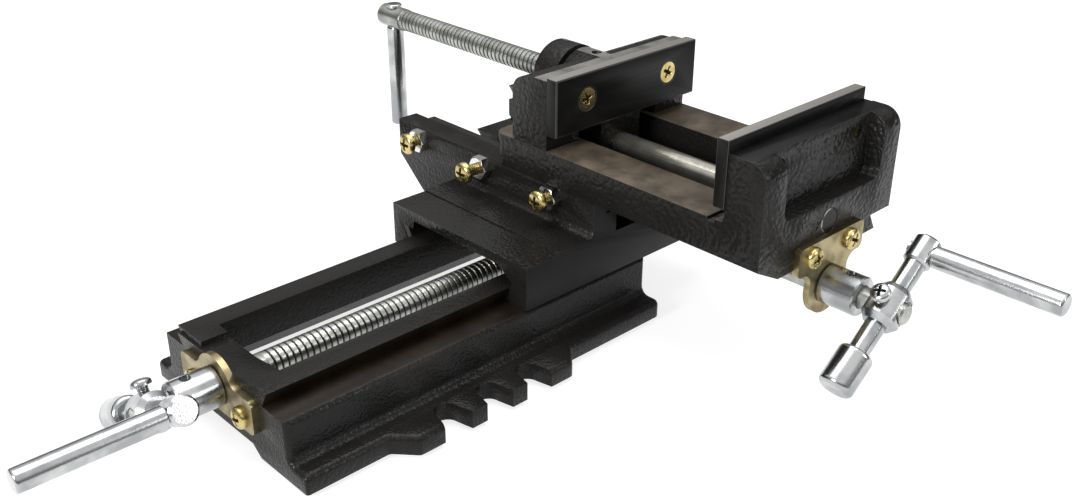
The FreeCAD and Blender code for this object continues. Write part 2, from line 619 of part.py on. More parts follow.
def make_base():
    """The base casting: two dovetail rails on an open frame, with a slotted lug row on each long side."""
    body = add_body("base_casting")
    foot = rail_foot()
    half = s.base_half
    inner = s.base_half - s.end_wall
    slab(body, "rails_and_walls", "x", -half, half, [
        (-s.wall_half, 0), (s.wall_half, 0), (s.wall_half, s.shoulder_top), (foot, s.shoulder_top),
        (s.rail_half, s.rail_top), (-s.rail_half, s.rail_top), (-foot, s.shoulder_top),
        (-s.wall_half, s.shoulder_top),
    ])
    left = s.slot_middle - s.lug_row_half
    right = s.slot_middle + s.lug_row_half
    root_left = s.slot_middle - s.lug_root_half
    root_right = s.slot_middle + s.lug_root_half
    slab(body, "flange", "z", 0, s.flange_top, [
        (-half, -s.sole_outer), (root_left, -s.sole_outer), (left, -s.lug_reach), (right, -s.lug_reach),
        (root_right, -s.sole_outer), (half, -s.sole_outer), (half, s.sole_outer), (root_right, s.sole_outer),
        (right, s.lug_reach), (left, s.lug_reach), (root_left, s.sole_outer), (-half, s.sole_outer),
    ])
    cut(body, "window", "x", -inner, inner, [
        (-s.sole_inner, -s.past), (s.sole_inner, -s.past), (s.sole_inner, 0), (s.knee_half, s.knee_height),
        (s.window_half, s.window_low), (s.window_half, s.rail_top + s.past),
        (-s.window_half, s.rail_top + s.past),
        (-s.window_half, s.window_low), (-s.knee_half, s.knee_height), (-s.sole_inner, 0),
    ])
    for side, name in ((-1, "near"), (1, "far")):
        loops = []
        for step in (-1, 0, 1):
            middle = s.slot_middle + s.slot_pitch * step
            neck = s.slot_end * side
            mouth = (s.lug_reach + s.past) * side
            loops.append([
                (middle - s.slot_half, neck), Arc(middle, neck, side), (middle + s.slot_half, neck),
                (middle + s.slot_mouth, mouth), (middle - s.slot_mouth, mouth),
            ])
        cut(body, name + "_slots", "z", -s.past, s.flange_top + s.past, *loops)
    for side, name in ((-1, "near"), (1, "far")):
        outer = (s.base_half + s.past) * side
        wall = (inner - s.sliver) * side
        ends = (outer, wall) if side < 0 else (wall, outer)
        cut(body, name + "_end_wall_top", "x", ends[0], ends[1], [
            (-s.ramp_top_y, s.rail_top), (-s.ramp_low_y, s.end_top), (s.pad_inner, s.end_top),
            (s.pad_inner, s.rail_top + s.past), (-s.ramp_top_y, s.rail_top + s.past),
        ])
        cut(body, name + "_end_arch", "x", ends[0], ends[1], [
            (-s.arch_foot, -s.past), (s.arch_foot, -s.past), (s.arch_foot, 0), (s.arch_crown, s.arch_rise),
            (-s.arch_crown, s.arch_rise), (-s.arch_foot, 0),
        ])
        step = (s.base_half - s.rail_end_in) * side
        ends = (outer, step) if side < 0 else (step, outer)
        cut(body, name + "_end_step", "x", ends[0], ends[1], [
            (s.pad_inner - s.sliver, s.end_top), (s.wall_half + s.past, s.end_top),
            (s.wall_half + s.past, s.rail_top + s.past), (s.pad_inner - s.sliver, s.rail_top + s.past),
        ])
    # bores for the leadscrew, its shoulder and its far journal
    cut(body, "leadscrew_bore", "x", -half - s.past, -inner + s.past,
        Circle(0, s.lower_axis, s.thread_radius + s.running_fit))
    cut(body, "shoulder_seat", "x", -half - s.past, -half + s.thrust_width + s.running_fit,
        Circle(0, s.lower_axis, s.thrust_radius + s.running_fit))
    cut(body, "journal_bore", "x", inner - s.past, s.base_half - s.pilot_in + s.running_fit,
        Circle(0, s.lower_axis, s.pilot_radius + s.running_fit))
    bolt = s.pan_screw_radius + s.press_fit_gap
    cut(body, "bracket_screw_holes", "x", -half - s.past, -half + s.pan_screw_length,
        Circle(-s.lower_bracket_screw_y, s.lower_bracket_screw_z, bolt),
        Circle(s.lower_bracket_screw_y, s.lower_bracket_screw_z, bolt))
    # rounds of the casting
    for x, size, name in ((-half, s.flange_corner, "near"), (half, s.flange_far_corner, "far")):
        shape = body.Shape
        corners = []
        for y in (-s.sole_outer, s.sole_outer):
            corners += edges_at(shape, along="z", x=x, y=y)
        soften(body, name + "_flange_corners", size, corners)
    shape = body.Shape
    corners = []
    for x in (left, right, root_left, root_right):
        for y in ((-s.lug_reach, -s.sole_outer), (s.sole_outer, s.lug_reach)):
            corners += edges_at(shape, along="z", x=x, y=y)
    soften(body, "lug_corners", s.casting_round, corners)
    shape = body.Shape
    walls = []
    for y in (-s.wall_half, s.wall_half):
        walls += edges_at(shape, along="x", y=y, z=s.flange_top)
    soften(body, "wall_roots", s.root_round, walls)
    shape = body.Shape
    walls = []
    for y in (-s.wall_half, s.wall_half):
        walls += edges_at(shape, along="x", y=y, z=s.shoulder_top)
        for x in (-half, half):
            walls += edges_at(shape, x=x, y=y, z=(s.flange_top, s.shoulder_top))
    soften(body, "wall_tops", s.casting_round, walls)
    return body


def make_bracket(name, half, low, wing, screws, eye_up):
    """A bracket plate in its own x-y plane: two wings and a round eye round the leadscrew's bore."""
    body = add_body(name)
    reach = root(square(s.bracket_eye) - square(wing))
    if eye_up:
        loop = [
            (-half, low), (half, low), (half, wing), (reach, wing), Arc(0, 0), (-reach, wing), (-half, wing),
        ]
    else:
        loop = [
            (half, low), (-half, low), (-half, wing), (-reach, wing), Arc(0, 0), (reach, wing), (half, wing),
        ]
    slab(body, "plate", "z", 0, s.bracket_thick, loop)
    cut(body, "bore", "z", -s.past, s.bracket_thick + s.past, Circle(0, 0, s.shaft_radius + s.running_fit))
    holes = [Circle(x, y, s.pan_screw_radius + s.press_fit_gap) for x, y in screws]
    cut(body, "screw_holes", "z", -s.past, s.bracket_thick + s.past, *holes)
    shape = body.Shape
    soften(body, "eye_roots", s.bracket_round,
           edges_at(shape, along="z", x=reach, y=wing) + edges_at(shape, along="z", x=-reach, y=wing))
    shape = body.Shape
    corners = []
    for x in (-half, half):
        for y in (low, wing):
            corners += edges_at(shape, along="z", x=x, y=y)
    soften(body, "corners", s.bracket_corner, corners)
    return body


def make_lower_bracket():
    """The plate that holds the lower leadscrew to the end of the base."""
    y = s.lower_bracket_screw_y
    z = s.lower_bracket_screw_z - s.lower_axis
    body = make_bracket("lower_bracket", s.lower_bracket_half, s.lower_bracket_low - s.lower_axis,
                        s.lower_bracket_wing - s.lower_axis, [(-y, z), (y, z)], True)
    turn = FreeCAD.Rotation(FreeCAD.Vector(0, -1, 0), FreeCAD.Vector(0, 0, 1), FreeCAD.Vector(-1, 0, 0),
                            "XYZ")
    body.Placement = FreeCAD.Placement(FreeCAD.Vector(0, 0, 0), turn)
    bind(body, "Placement.Base.x", -s.base_half)
    bind(body, "Placement.Base.z", s.lower_axis)
    return body


def make_upper_bracket():
    """The plate that holds the cross leadscrew to the near end of the vise body."""
    x = s.upper_bracket_screw_x
    z = s.upper_bracket_screw_z - s.upper_axis
    body = make_bracket("upper_bracket", s.upper_bracket_half, s.upper_bracket_top - s.upper_axis,
                        s.upper_bracket_wing - s.upper_axis, [(-x, z), (x, z)], False)
    turn = FreeCAD.Rotation(FreeCAD.Vector(1, 0, 0), FreeCAD.Vector(0, 0, 1), FreeCAD.Vector(0, -1, 0), "XYZ")
    body.Placement = FreeCAD.Placement(FreeCAD.Vector(0, 0, 0), turn)
    bind(body, "Placement.Base.x", s.body_middle)
    bind(body, "Placement.Base.y", -s.body_near)
    bind(body, "Placement.Base.z", s.upper_axis)
    return body


# Leadscrews, collars and cranks
def make_lower_leadscrew():
    """The lower leadscrew, turned about the base's long axis."""
    body = add_body("lower_leadscrew")
    shaft_end = s.base_half + s.lower_crank_out + s.shaft_past_hub
    thread_end = s.base_half - s.lower_thread_in
    pilot_end = s.base_half - s.pilot_in
    turned(body, "turned_outline", [
        (-shaft_end, 0), (-shaft_end, s.shaft_radius), (-s.base_half, s.shaft_radius),
        (-s.base_half, s.thrust_radius), (-s.base_half + s.thrust_width, s.thrust_radius),
        (-s.base_half + s.thrust_width, s.thread_radius), (thread_end, s.thread_radius),
        (thread_end, s.pilot_radius), (pilot_end, s.pilot_radius), (pilot_end, 0),
    ])
    shape = body.Shape
    end = edges_at(shape, x=-shaft_end)
    soften(body, "shaft_chamfer", s.shaft_chamfer, end, "Chamfer")
    bind(body, "Placement.Base.z", s.lower_axis)
    return body


def make_cross_leadscrew():
    """The cross leadscrew, held at its near end only."""
    body = add_body("cross_leadscrew")
    shaft_end = s.body_near + s.upper_crank_out + s.shaft_past_hub
    turned(body, "turned_outline", [
        (-shaft_end, 0), (-shaft_end, s.shaft_radius), (-s.body_near, s.shaft_radius),
        (-s.body_near, s.thrust_radius), (-s.body_near + s.thrust_width, s.thrust_radius),
        (-s.body_near + s.thrust_width, s.thread_radius), (-s.cross_end, s.thread_radius), (-s.cross_end, 0),
    ])
    shape = body.Shape
    ends = edges_at(shape, x=-shaft_end) + edges_at(shape, x=-s.cross_end)
    soften(body, "end_chamfers", s.shaft_chamfer, ends, "Chamfer")
    place(body, s.body_middle, 0, s.upper_axis, outward=(0, 1, 0))
    return body


def make_collar(name, length):
    """A plain collar along its own x axis, with a cross hole for its grub screw."""
    body = add_body(name)
    turned(body, "ring", [
        (0, s.shaft_radius + s.press_fit_gap), (length, s.shaft_radius + s.press_fit_gap),
        (length, s.collar_radius), (0, s.collar_radius),
    ])
    shape = body.Shape
    soften(body, "rims", s.rim_chamfer,
           edges_at(shape, x=0, y=(-s.collar_radius, s.collar_radius), z=(-s.collar_radius, s.collar_radius))
           + edges_at(shape, x=length), "Chamfer")
    cut(body, "grub_hole", "z", 0, s.collar_radius + s.past,
        Circle(length * s.grub_place, 0, s.grub_radius + s.press_fit_gap))
    return body


def make_grub(name):
    """A grub screw, its tip at the origin and its own x axis outwards."""
    body = add_body(name)
    length = s.collar_radius - s.grub_sink - s.shaft_radius
    turned(body, "shank", [
        (0, 0), (length, 0), (length, s.grub_radius), (0, s.grub_radius),
    ])
    return body


def make_crank_arm(name):
    """A crank arm turned in one piece: balance knob, hub and top barrel, bored for the shaft and the grip."""
    body = add_body(name)
    cone_foot = s.hub_half - s.hub_cone
    turned(body, "turned_outline", [
        (-s.knob_end, 0), (-s.knob_end, s.knob_radius), (-s.knob_start, s.knob_radius),
        (-s.knob_start, s.neck_radius), (-s.hub_half, s.neck_radius), (-s.hub_half, s.cone_radius),
        (-cone_foot, s.hub_radius), (cone_foot, s.hub_radius), (s.hub_half, s.cone_radius),
        (s.hub_half, s.neck_radius), (s.barrel_start, s.neck_radius), (s.barrel_start, s.barrel_radius),
        (s.barrel_end, s.barrel_radius), (s.barrel_end, 0),
    ])
    shape = body.Shape
    soften(body, "knob_rounds", s.knob_round,
           rim(shape, -s.knob_end, s.knob_radius) + rim(shape, -s.knob_start, s.knob_radius))
    shape = body.Shape
    soften(body, "barrel_chamfers", s.barrel_chamfer,
           rim(shape, s.barrel_start, s.barrel_radius) + rim(shape, s.barrel_end, s.barrel_radius), "Chamfer")
    cut(body, "shaft_hole", "y", -s.hub_radius - s.past, s.hub_radius + s.past,
        Circle(0, 0, s.shaft_radius + s.press_fit_gap))
    cut(body, "shaft_hole_rim", "y", s.hub_radius - s.hub_rim_depth, s.hub_radius + s.past,
        Circle(0, 0, s.hub_rim))
    cut(body, "grip_hole", "y", -s.barrel_radius - s.past, s.barrel_radius + s.past,
        Circle(s.grip_offset, 0, s.grip_pin + s.press_fit_gap))
    cut(body, "set_screw_hole", "z", -s.hub_radius - s.past, 0,
        Circle(0, 0, s.set_screw_radius + s.press_fit_gap))
    return body


def make_grip(name):
    """A crank's grip, from the pin in the arm outwards along its own x axis."""
    body = add_body(name)
    turned(body, "turned_outline", [
        (-s.barrel_radius, 0), (-s.barrel_radius, s.grip_pin), (s.grip_start, s.grip_pin),
        (s.grip_start, s.grip_radius), (s.grip_length, s.grip_radius), (s.grip_length, 0),
    ])
    shape = body.Shape
    soften(body, "end_round", s.grip_round, edges_at(shape, x=s.grip_length))
    return body


def make_pan_screw(name, length, shank, head_radius, head_thick):
    """A pan head screw along its own x axis, the underside of its head at the origin."""
    body = add_body(name)
    turned(body, "turned_outline", [
        (-length, 0), (-length, shank), (0, shank), (0, head_radius), (head_thick, head_radius),
        (head_thick, 0),
    ])
    shape = body.Shape
    soften(body, "head_round", head_thick * s.head_round_share, edges_at(shape, x=head_thick))
    return body


def make_flat_screw(name):
    """A countersunk screw along its own x axis, the top of its head at the origin."""
    body = add_body(name)
    turned(body, "turned_outline", [
        (-s.flat_screw_length, 0), (-s.flat_screw_length, s.flat_screw_radius),
        (-s.flat_head_rim - s.flat_head_radius + s.flat_screw_radius, s.flat_screw_radius),
        (-s.flat_head_rim, s.flat_head_radius), (0, s.flat_head_radius), (0, 0),
    ])
    return body


def make_nut(name, across, thick, hole):
    """A hexagon nut along its own x axis, its seat at the origin."""
    body = add_body(name)
    side = across * (1 / math.sqrt(3))
    flat = across / 2
    slab(body, "hexagon", "x", 0, thick, [
        (-side, 0), (-side / 2, -flat), (side / 2, -flat), (side, 0), (side / 2, flat), (-side / 2, flat),
    ])
    cut(body, "bore", "x", -s.past, thick + s.past, Circle(0, 0, hole))
    drop = side - flat
    turned_cut(body, "corner_chamfer", [
        (thick - drop * s.dovetail_run, side + s.sliver), (thick, flat - s.sliver),
        (thick + s.past, flat - s.sliver), (thick + s.past, side + s.sliver),
    ])
    return body


# Saddle
def upper_root(side):
    """Where the body's dovetail flank meets its flange, on the near side (-1) or the far side (1)."""
    return s.male_middle + s.male_root * side


def upper_tip(side):
    """Where the body's dovetail flank ends below, on the near side (-1) or the far side (1)."""
    return upper_root(side) + (s.flange_low - s.male_low) * s.dovetail_run * side


def make_saddle():
    """The saddle casting: cheeks round the base's rails, a thin plate over them, and a channel across it."""
    body = add_body("saddle_casting")
    foot = rail_foot()
    rest = s.shoulder_top + s.slide_gap
    near_foot = foot + s.slide_gap + s.slide_gap * s.dovetail_run
    far_foot = foot + s.gib_across + s.slide_gap * s.dovetail_run
    far_roof = far_foot + (s.gib_roof - rest) * s.dovetail_run
    near_top = near_foot + (s.arch_knee_low - rest) * s.dovetail_run
    slab(body, "cheeks_and_plate", "x", s.saddle_start, s.saddle_end, [
        (-s.saddle_near, rest), (-near_foot, rest), (-near_top, s.arch_knee_low),
        (-s.arch_top_y, s.plate_low),
        (s.arch_far_y - s.arch_far_run, s.plate_low), (s.arch_far_y, s.gib_roof), (far_roof, s.gib_roof),
        (far_foot, rest), (s.saddle_far, rest), (s.saddle_far, s.plate_top), (-s.saddle_near, s.plate_top),
    ])
    near_back = upper_root(-1) - s.gib_across
    near_flank_top = near_back + (s.ear_top - s.flange_low) * s.dovetail_run
    near_flank_low = near_back + (s.ear_step - s.flange_low) * s.dovetail_run
    far_front = upper_root(1) + s.slide_gap
    far_flank_top = far_front - (s.ear_top - s.flange_low) * s.dovetail_run
    far_flank_low = far_front - (s.ear_step - s.flange_low) * s.dovetail_run
    slab(body, "channel", "y", -s.saddle_near, s.channel_far, [
        (s.ear_x, s.plate_low), (s.saddle_end, s.plate_low), (s.saddle_end, s.ear_top),
        (far_flank_top, s.ear_top), (far_flank_low, s.ear_step), (s.far_ear_foot, s.ear_step),
        (s.far_ear_foot, s.plate_top), (s.ear_foot, s.plate_top), (s.ear_foot, s.ear_step),
        (near_flank_low, s.ear_step), (near_flank_top, s.ear_top), (s.ear_x, s.ear_top),
    ])
    for start, end, name in ((s.ear_x, s.ear_foot, "ledge_gusset"),
                             (s.far_ear_foot, s.saddle_end, "far_gusset")):
        slab(body, name, "x", start, end, [
            (s.saddle_far - s.sunk, rest + s.sunk), (s.gusset_foot_y, s.gusset_foot_z),
            (s.gusset_mid_y, s.gusset_mid_z), (s.channel_far, s.gusset_corner_z),
            (s.channel_far, s.plate_top + s.gusset_top), (s.saddle_far - s.sunk, s.plate_top + s.gusset_top),
        ])
    slab(body, "trough_rib", "y", -s.saddle_near, s.channel_far, [
        (s.body_middle - s.rib_half, s.plate_low + s.sunk),
        (s.body_middle - s.rib_half + s.rib_run, s.rib_low),
        (s.body_middle + s.rib_half - s.rib_run, s.rib_low),
        (s.body_middle + s.rib_half, s.plate_low + s.sunk),
    ])
    slab(body, "ledge_rise", "z", s.plate_low + s.sunk, s.plate_top + s.ledge_step, [
        (s.ledge_step_x, -s.saddle_near), (s.ear_x + s.past, -s.saddle_near),
        (s.ear_x + s.past, s.saddle_far),
        (s.ledge_step_x, s.saddle_far),
    ])
    low = s.upper_axis
    cut(body, "trough", "y", -s.saddle_near - s.past, s.channel_far + s.past, [
        (s.body_middle - s.trough_radius, low), Arc(s.body_middle, low),
        (s.body_middle + s.trough_radius, low),
        (s.body_middle + s.trough_radius, s.plate_top + s.past),
        (s.body_middle - s.trough_radius, s.plate_top + s.past),
    ])
    cut(body, "gib_slot", "x", s.saddle_start - s.past, s.saddle_end + s.past, [
        (near_foot, rest), (far_foot, rest), (far_roof, s.gib_roof), (s.arch_far_y, s.gib_roof),
    ])
    cut(body, "end_slope", "x", s.ear_x - s.past, s.saddle_end + s.past, [
        (s.gusset_mid_y, s.gusset_mid_z), (s.channel_far + s.past, s.gusset_mid_z),
        (s.channel_far + s.past, s.gusset_corner_z), (s.channel_far, s.gusset_corner_z),
    ])
    # tapped holes for the gib screws
    bolt = s.gib_screw_radius + s.press_fit_gap
    holes = [Circle(s.upper_gib_screw_first + s.upper_gib_screw_pitch * step, s.upper_gib_screw_z, bolt)
             for step in range(3)]
    cut(body, "upper_gib_screw_holes", "x", s.ear_x - s.past, s.ear_foot + s.past, *holes)
    holes = [Circle(s.lower_gib_screw_first + s.lower_gib_screw_pitch * step, s.lower_gib_screw_z, bolt)
             for step in range(3)]
    cut(body, "lower_gib_screw_holes", "y", far_foot - s.past, s.saddle_far + s.past, *holes)
    # tapped holes for the screws that hold the two leadscrew nuts
    bolt = s.pan_screw_radius + s.press_fit_gap
    y = -s.cross_nut_near + s.cross_nut_long / 2
    cut(body, "cross_nut_screw_holes", "z", s.rib_low - s.past, s.plate_top + s.past,
        Circle(s.body_middle - s.cross_nut_screw_x, y, bolt),
        Circle(s.body_middle + s.cross_nut_screw_x, y, bolt))
    x = (s.lower_nut_start + s.lower_nut_end) / 2
    cut(body, "lower_nut_screw_holes", "z", s.plate_low - s.past, s.plate_top - s.thin_floor,
        Circle(x, -s.lower_nut_screw_y, bolt), Circle(x, s.lower_nut_screw_y, bolt))
    # rounds of the casting
    shape = body.Shape
    soften(body, "ledge_root", s.root_round,
           edges_at(shape, along="y", x=s.ear_x, z=s.plate_top + s.ledge_step))
    shape = body.Shape
    corners = edges_at(shape, x=s.ear_x, y=s.channel_far, z=(s.plate_top, s.ear_top))
    corners += edges_at(shape, x=s.saddle_end, y=s.channel_far, z=(s.plate_top, s.ear_top))
    soften(body, "channel_corners", s.channel_corner, corners)
    return body


def make_lower_gib():
    """The gib between the far rail and the saddle's far cheek."""
    body = add_body("lower_gib")
    foot = rail_foot() + s.slide_gap
    back = rail_foot() + s.gib_across - s.gib_play
    low = s.shoulder_top + s.slide_gap * 2
    high = s.gib_roof - s.slide_gap * 4
    drift = (high - s.shoulder_top) * s.dovetail_run
    step = (low - s.shoulder_top) * s.dovetail_run
    slab(body, "strip", "x", s.saddle_start + s.gib_end_gap, s.saddle_end - s.gib_end_gap, [
        (foot + step, low), (back + step, low), (back + drift, high), (foot + drift, high),
    ])
    seats = [Circle(s.lower_gib_screw_first + s.lower_gib_screw_pitch * number, s.lower_gib_screw_z,
                    s.gib_screw_radius + s.running_fit) for number in range(3)]
    tip = lower_gib_tip()
    cut(body, "screw_seats", "y", tip, back + drift + s.past, *seats)
    return body


def lower_gib_tip():
    """How far in the tips of the lower gib screws reach."""
    lean = (s.lower_gib_screw_z - s.shoulder_top) * s.dovetail_run
    return rail_foot() + s.gib_across + lean - s.gib_seat


def upper_gib_tip():
    """How far in the tips of the upper gib screws reach."""
    lean = (s.flange_low - s.upper_gib_screw_z) * s.dovetail_run
    return upper_root(-1) - s.gib_across - lean + s.gib_seat


def make_upper_gib():
    """The gib between the ledge-side ear and the body's dovetail."""
    body = add_body("upper_gib")
    root_x = upper_root(-1) - s.slide_gap
    back_x = upper_root(-1) - s.gib_across + s.gib_play
    low = s.ear_step + s.slide_gap
    high = s.flange_low - s.slide_gap * 4
    low_lean = (s.flange_low - low) * s.dovetail_run
    high_lean = (s.flange_low - high) * s.dovetail_run
    slab(body, "strip", "y", -s.upper_gib_start, s.upper_gib_end, [
        (back_x - low_lean, low), (root_x - low_lean, low), (root_x - high_lean, high),
        (back_x - high_lean, high),
    ])
    seats = [Circle(s.upper_gib_screw_first + s.upper_gib_screw_pitch * number, s.upper_gib_screw_z,
                    s.gib_screw_radius + s.running_fit) for number in range(3)]
    cut(body, "screw_seats", "x", back_x - low_lean - s.past, upper_gib_tip(), *seats)
    return body


def make_cross_nut():
    """The cross leadscrew's nut, screwed down on the channel's floor with its round back in the trough."""
    body = add_body("cross_nut")
    near = -s.cross_nut_near
    far = near + s.cross_nut_long
    middle = s.body_middle
    rest = s.plate_top
    slab(body, "ears", "y", near, far, [
        (middle - s.cross_nut_half, rest), (middle + s.cross_nut_half, rest),
        (middle + s.cross_nut_half, s.cross_nut_ear_top), (middle - s.cross_nut_half, s.cross_nut_ear_top),
    ])
    back = s.trough_radius - s.nut_back_gap
    slab(body, "block", "y", near, far, [
        (middle - back, s.upper_axis), Arc(middle, s.upper_axis), (middle + back, s.upper_axis),
        (middle + back, rest + s.past), (middle + s.cross_nut_waist, rest + s.past),
        (middle + s.cross_nut_waist, s.cross_nut_top), (middle - s.cross_nut_waist, s.cross_nut_top),
        (middle - s.cross_nut_waist, rest + s.past), (middle - back, rest + s.past),
    ])
    cut(body, "thread_bore", "y", near - s.past, far + s.past,
        Circle(middle, s.upper_axis, s.thread_radius + s.running_fit))
    bolt = s.pan_screw_radius + s.press_fit_gap
    y = near + s.cross_nut_long / 2
    cut(body, "screw_holes", "z", rest - s.past, s.cross_nut_ear_top + s.past,
        Circle(middle - s.cross_nut_screw_x, y, bolt), Circle(middle + s.cross_nut_screw_x, y, bolt))
    return body


def make_lower_nut():
    """The lower leadscrew's nut, hung under the saddle's plate and held by two screws."""
    body = add_body("lower_nut")
    slab(body, "flange", "z", s.lower_nut_flange_low, s.plate_low, [
        (s.lower_nut_start, -s.lower_nut_flange_half), (s.lower_nut_end, -s.lower_nut_flange_half),
        (s.lower_nut_end, s.lower_nut_flange_half), (s.lower_nut_start, s.lower_nut_flange_half),
    ])
    slab(body, "block", "x", s.lower_nut_start, s.lower_nut_end, [
        (-s.lower_nut_half, s.lower_nut_flange_low + s.past), (-s.lower_nut_half, s.lower_nut_low),
        (s.lower_nut_half, s.lower_nut_low), (s.lower_nut_half, s.lower_nut_flange_low + s.past),
    ])
    cut(body, "thread_bore", "x", s.lower_nut_start - s.past, s.lower_nut_end + s.past,
        Circle(0, s.lower_axis, s.thread_radius + s.running_fit))
    bolt = s.pan_screw_radius + s.press_fit_gap
    x = (s.lower_nut_start + s.lower_nut_end) / 2
    cut(body, "screw_holes", "z", s.lower_nut_flange_low - s.past, s.plate_low + s.past,
        Circle(x, -s.lower_nut_screw_y, bolt), Circle(x, s.lower_nut_screw_y, bolt))
    return body


# Vise body and jaws
def make_vise_body():
    """The vise body: dovetail below, two ways with a slot between them, fixed jaw and clamp screw boss."""
    body = add_body("vise_body")
    start = s.body_middle - s.body_half
    end = s.body_middle + s.body_half
    near_root, near_tip = upper_root(-1), upper_tip(-1)
    far_root, far_tip = upper_root(1), upper_tip(1)
    slab(body, "ways_and_dovetail", "y", -s.body_near, s.body_far, [
        (start, s.flange_low), (near_root, s.flange_low), (near_tip, s.male_low), (far_tip, s.male_low),
        (far_root, s.flange_low), (end, s.flange_low), (end, s.way_top), (start, s.way_top),
    ])
    slab(body, "end_web", "y", -s.body_near, -s.body_near + s.end_web, [
        (start, s.flange_low), (near_tip, s.male_low), (s.body_middle, s.male_low),
        (s.body_middle, s.flange_low + s.sunk), (start, s.flange_low + s.sunk),
    ])
    slab(body, "fixed_jaw", "x", start, end, [
        (-s.body_near, s.way_top - s.past), (-s.jaw_back_y, s.way_top - s.past), (-s.jaw_back_y, s.jaw_top),
        (-s.body_near + s.jaw_crown, s.jaw_top), Arc(-s.body_near + s.jaw_crown, s.jaw_top - s.jaw_crown),
        (-s.body_near, s.jaw_top - s.jaw_crown),
    ])
    cut(body, "jaw_pocket", "y", -s.body_near - s.past, -s.pocket_wall, [
        (s.pocket_start, s.pocket_low), (s.pocket_end, s.pocket_low), (s.pocket_end, s.jaw_top + s.past),
        (s.pocket_start, s.jaw_top + s.past),
    ])
    shape = body.Shape
    soften(body, "pocket_rounds", s.pocket_round,
           edges_at(shape, along="y", x=s.pocket_start, z=s.pocket_low)
           + edges_at(shape, along="y", x=s.pocket_end, z=s.pocket_low))
    cut(body, "way_slot", "y", -s.jaw_back_y, s.slot_far, [
        (s.way_start, s.way_floor), (s.way_end, s.way_floor), (s.way_end, s.way_top + s.past),
        (s.way_start, s.way_top + s.past),
    ])
    cut(body, "way_relief", "x", start - s.past, end + s.past, [
        (-s.relief_y - s.relief_width / 2, s.way_top - s.relief_depth),
        (-s.relief_y + s.relief_width / 2, s.way_top - s.relief_depth),
        (-s.relief_y + s.relief_width / 2, s.way_top + s.past),
        (-s.relief_y - s.relief_width / 2, s.way_top + s.past),
    ])
    rebates = (
        (start - s.past, start + s.rebate_depth, "near"),
        (end - s.rebate_depth, end + s.past, "far"))
    for low, high, name in rebates:
        cut(body, name + "_side_rebate", "x", low, high, [
            (-s.jaw_back_y - s.rebate_width, s.way_top + s.rebate_low),
            (-s.jaw_back_y + s.past, s.way_top + s.rebate_low),
            (-s.jaw_back_y + s.past, s.jaw_top + s.past),
            (-s.jaw_back_y - s.rebate_width, s.jaw_top + s.past),
        ])
    slab(body, "pedestal", "y", s.slot_far - s.sunk / 2, s.body_far, [
        (s.body_middle - s.pedestal_half, s.way_floor), (s.body_middle + s.pedestal_half, s.way_floor),
        (s.body_middle + s.pedestal_half, s.clamp_axis - s.pedestal_drop),
        (s.body_middle - s.pedestal_half, s.clamp_axis - s.pedestal_drop),
    ])
    slab(body, "clamp_boss", "y", s.boss_start, s.boss_end,
         Circle(s.body_middle, s.clamp_axis, s.boss_radius))
    cut(body, "jaw_gap_behind", "y", s.slot_far - s.past, s.boss_start, [
        (s.body_middle - s.pedestal_half - s.past, s.way_top),
        (s.body_middle + s.pedestal_half + s.past, s.way_top),
        (s.body_middle + s.pedestal_half + s.past, s.clamp_axis),
        (s.body_middle - s.pedestal_half - s.past, s.clamp_axis),
    ])
    cut(body, "clamp_screw_bore", "y", s.boss_start - s.past, s.boss_end + s.past,
        Circle(s.body_middle, s.clamp_axis, s.thread_radius + s.running_fit))
    cut(body, "guide_rod_bore", "y", -s.body_near - s.past, s.rod_far,
        Circle(s.body_middle, s.rod_axis, s.rod_radius + s.press_fit_gap))
    bolt = s.flat_screw_radius + s.press_fit_gap
    cut(body, "plate_screw_holes", "y", -s.pocket_wall - s.past, -s.jaw_back_y + s.past,
        Circle(s.body_middle - s.plate_screw_x, s.plate_screw_z, bolt),
        Circle(s.body_middle + s.plate_screw_x, s.plate_screw_z, bolt))
    bolt = s.pan_screw_radius + s.press_fit_gap
    cut(body, "bracket_screw_holes", "y", -s.body_near - s.past, -s.body_near + s.pan_screw_length,
        Circle(s.body_middle - s.upper_bracket_screw_x, s.upper_bracket_screw_z, bolt),
        Circle(s.body_middle + s.upper_bracket_screw_x, s.upper_bracket_screw_z, bolt))
    # the upright corners of the far end are rounded
    shape = body.Shape
    corners = edges_at(shape, along="z", x=start, y=s.body_far)
    corners += edges_at(shape, along="z", x=end, y=s.body_far)
    soften(body, "far_corners", s.body_corner, corners)
    return body


def make_fixed_plate():
    """The fixed jaw plate with two countersunk holes."""
    return make_jaw_plate("fixed_jaw_plate", -s.jaw_back_y, -s.fixed_plate_front, s.fixed_plate_low, 1)


def make_moving_plate():
    """The moving jaw plate with two countersunk holes."""
    return make_jaw_plate("moving_jaw_plate", -s.moving_plate_front, -s.moving_front, s.moving_plate_low, -1)


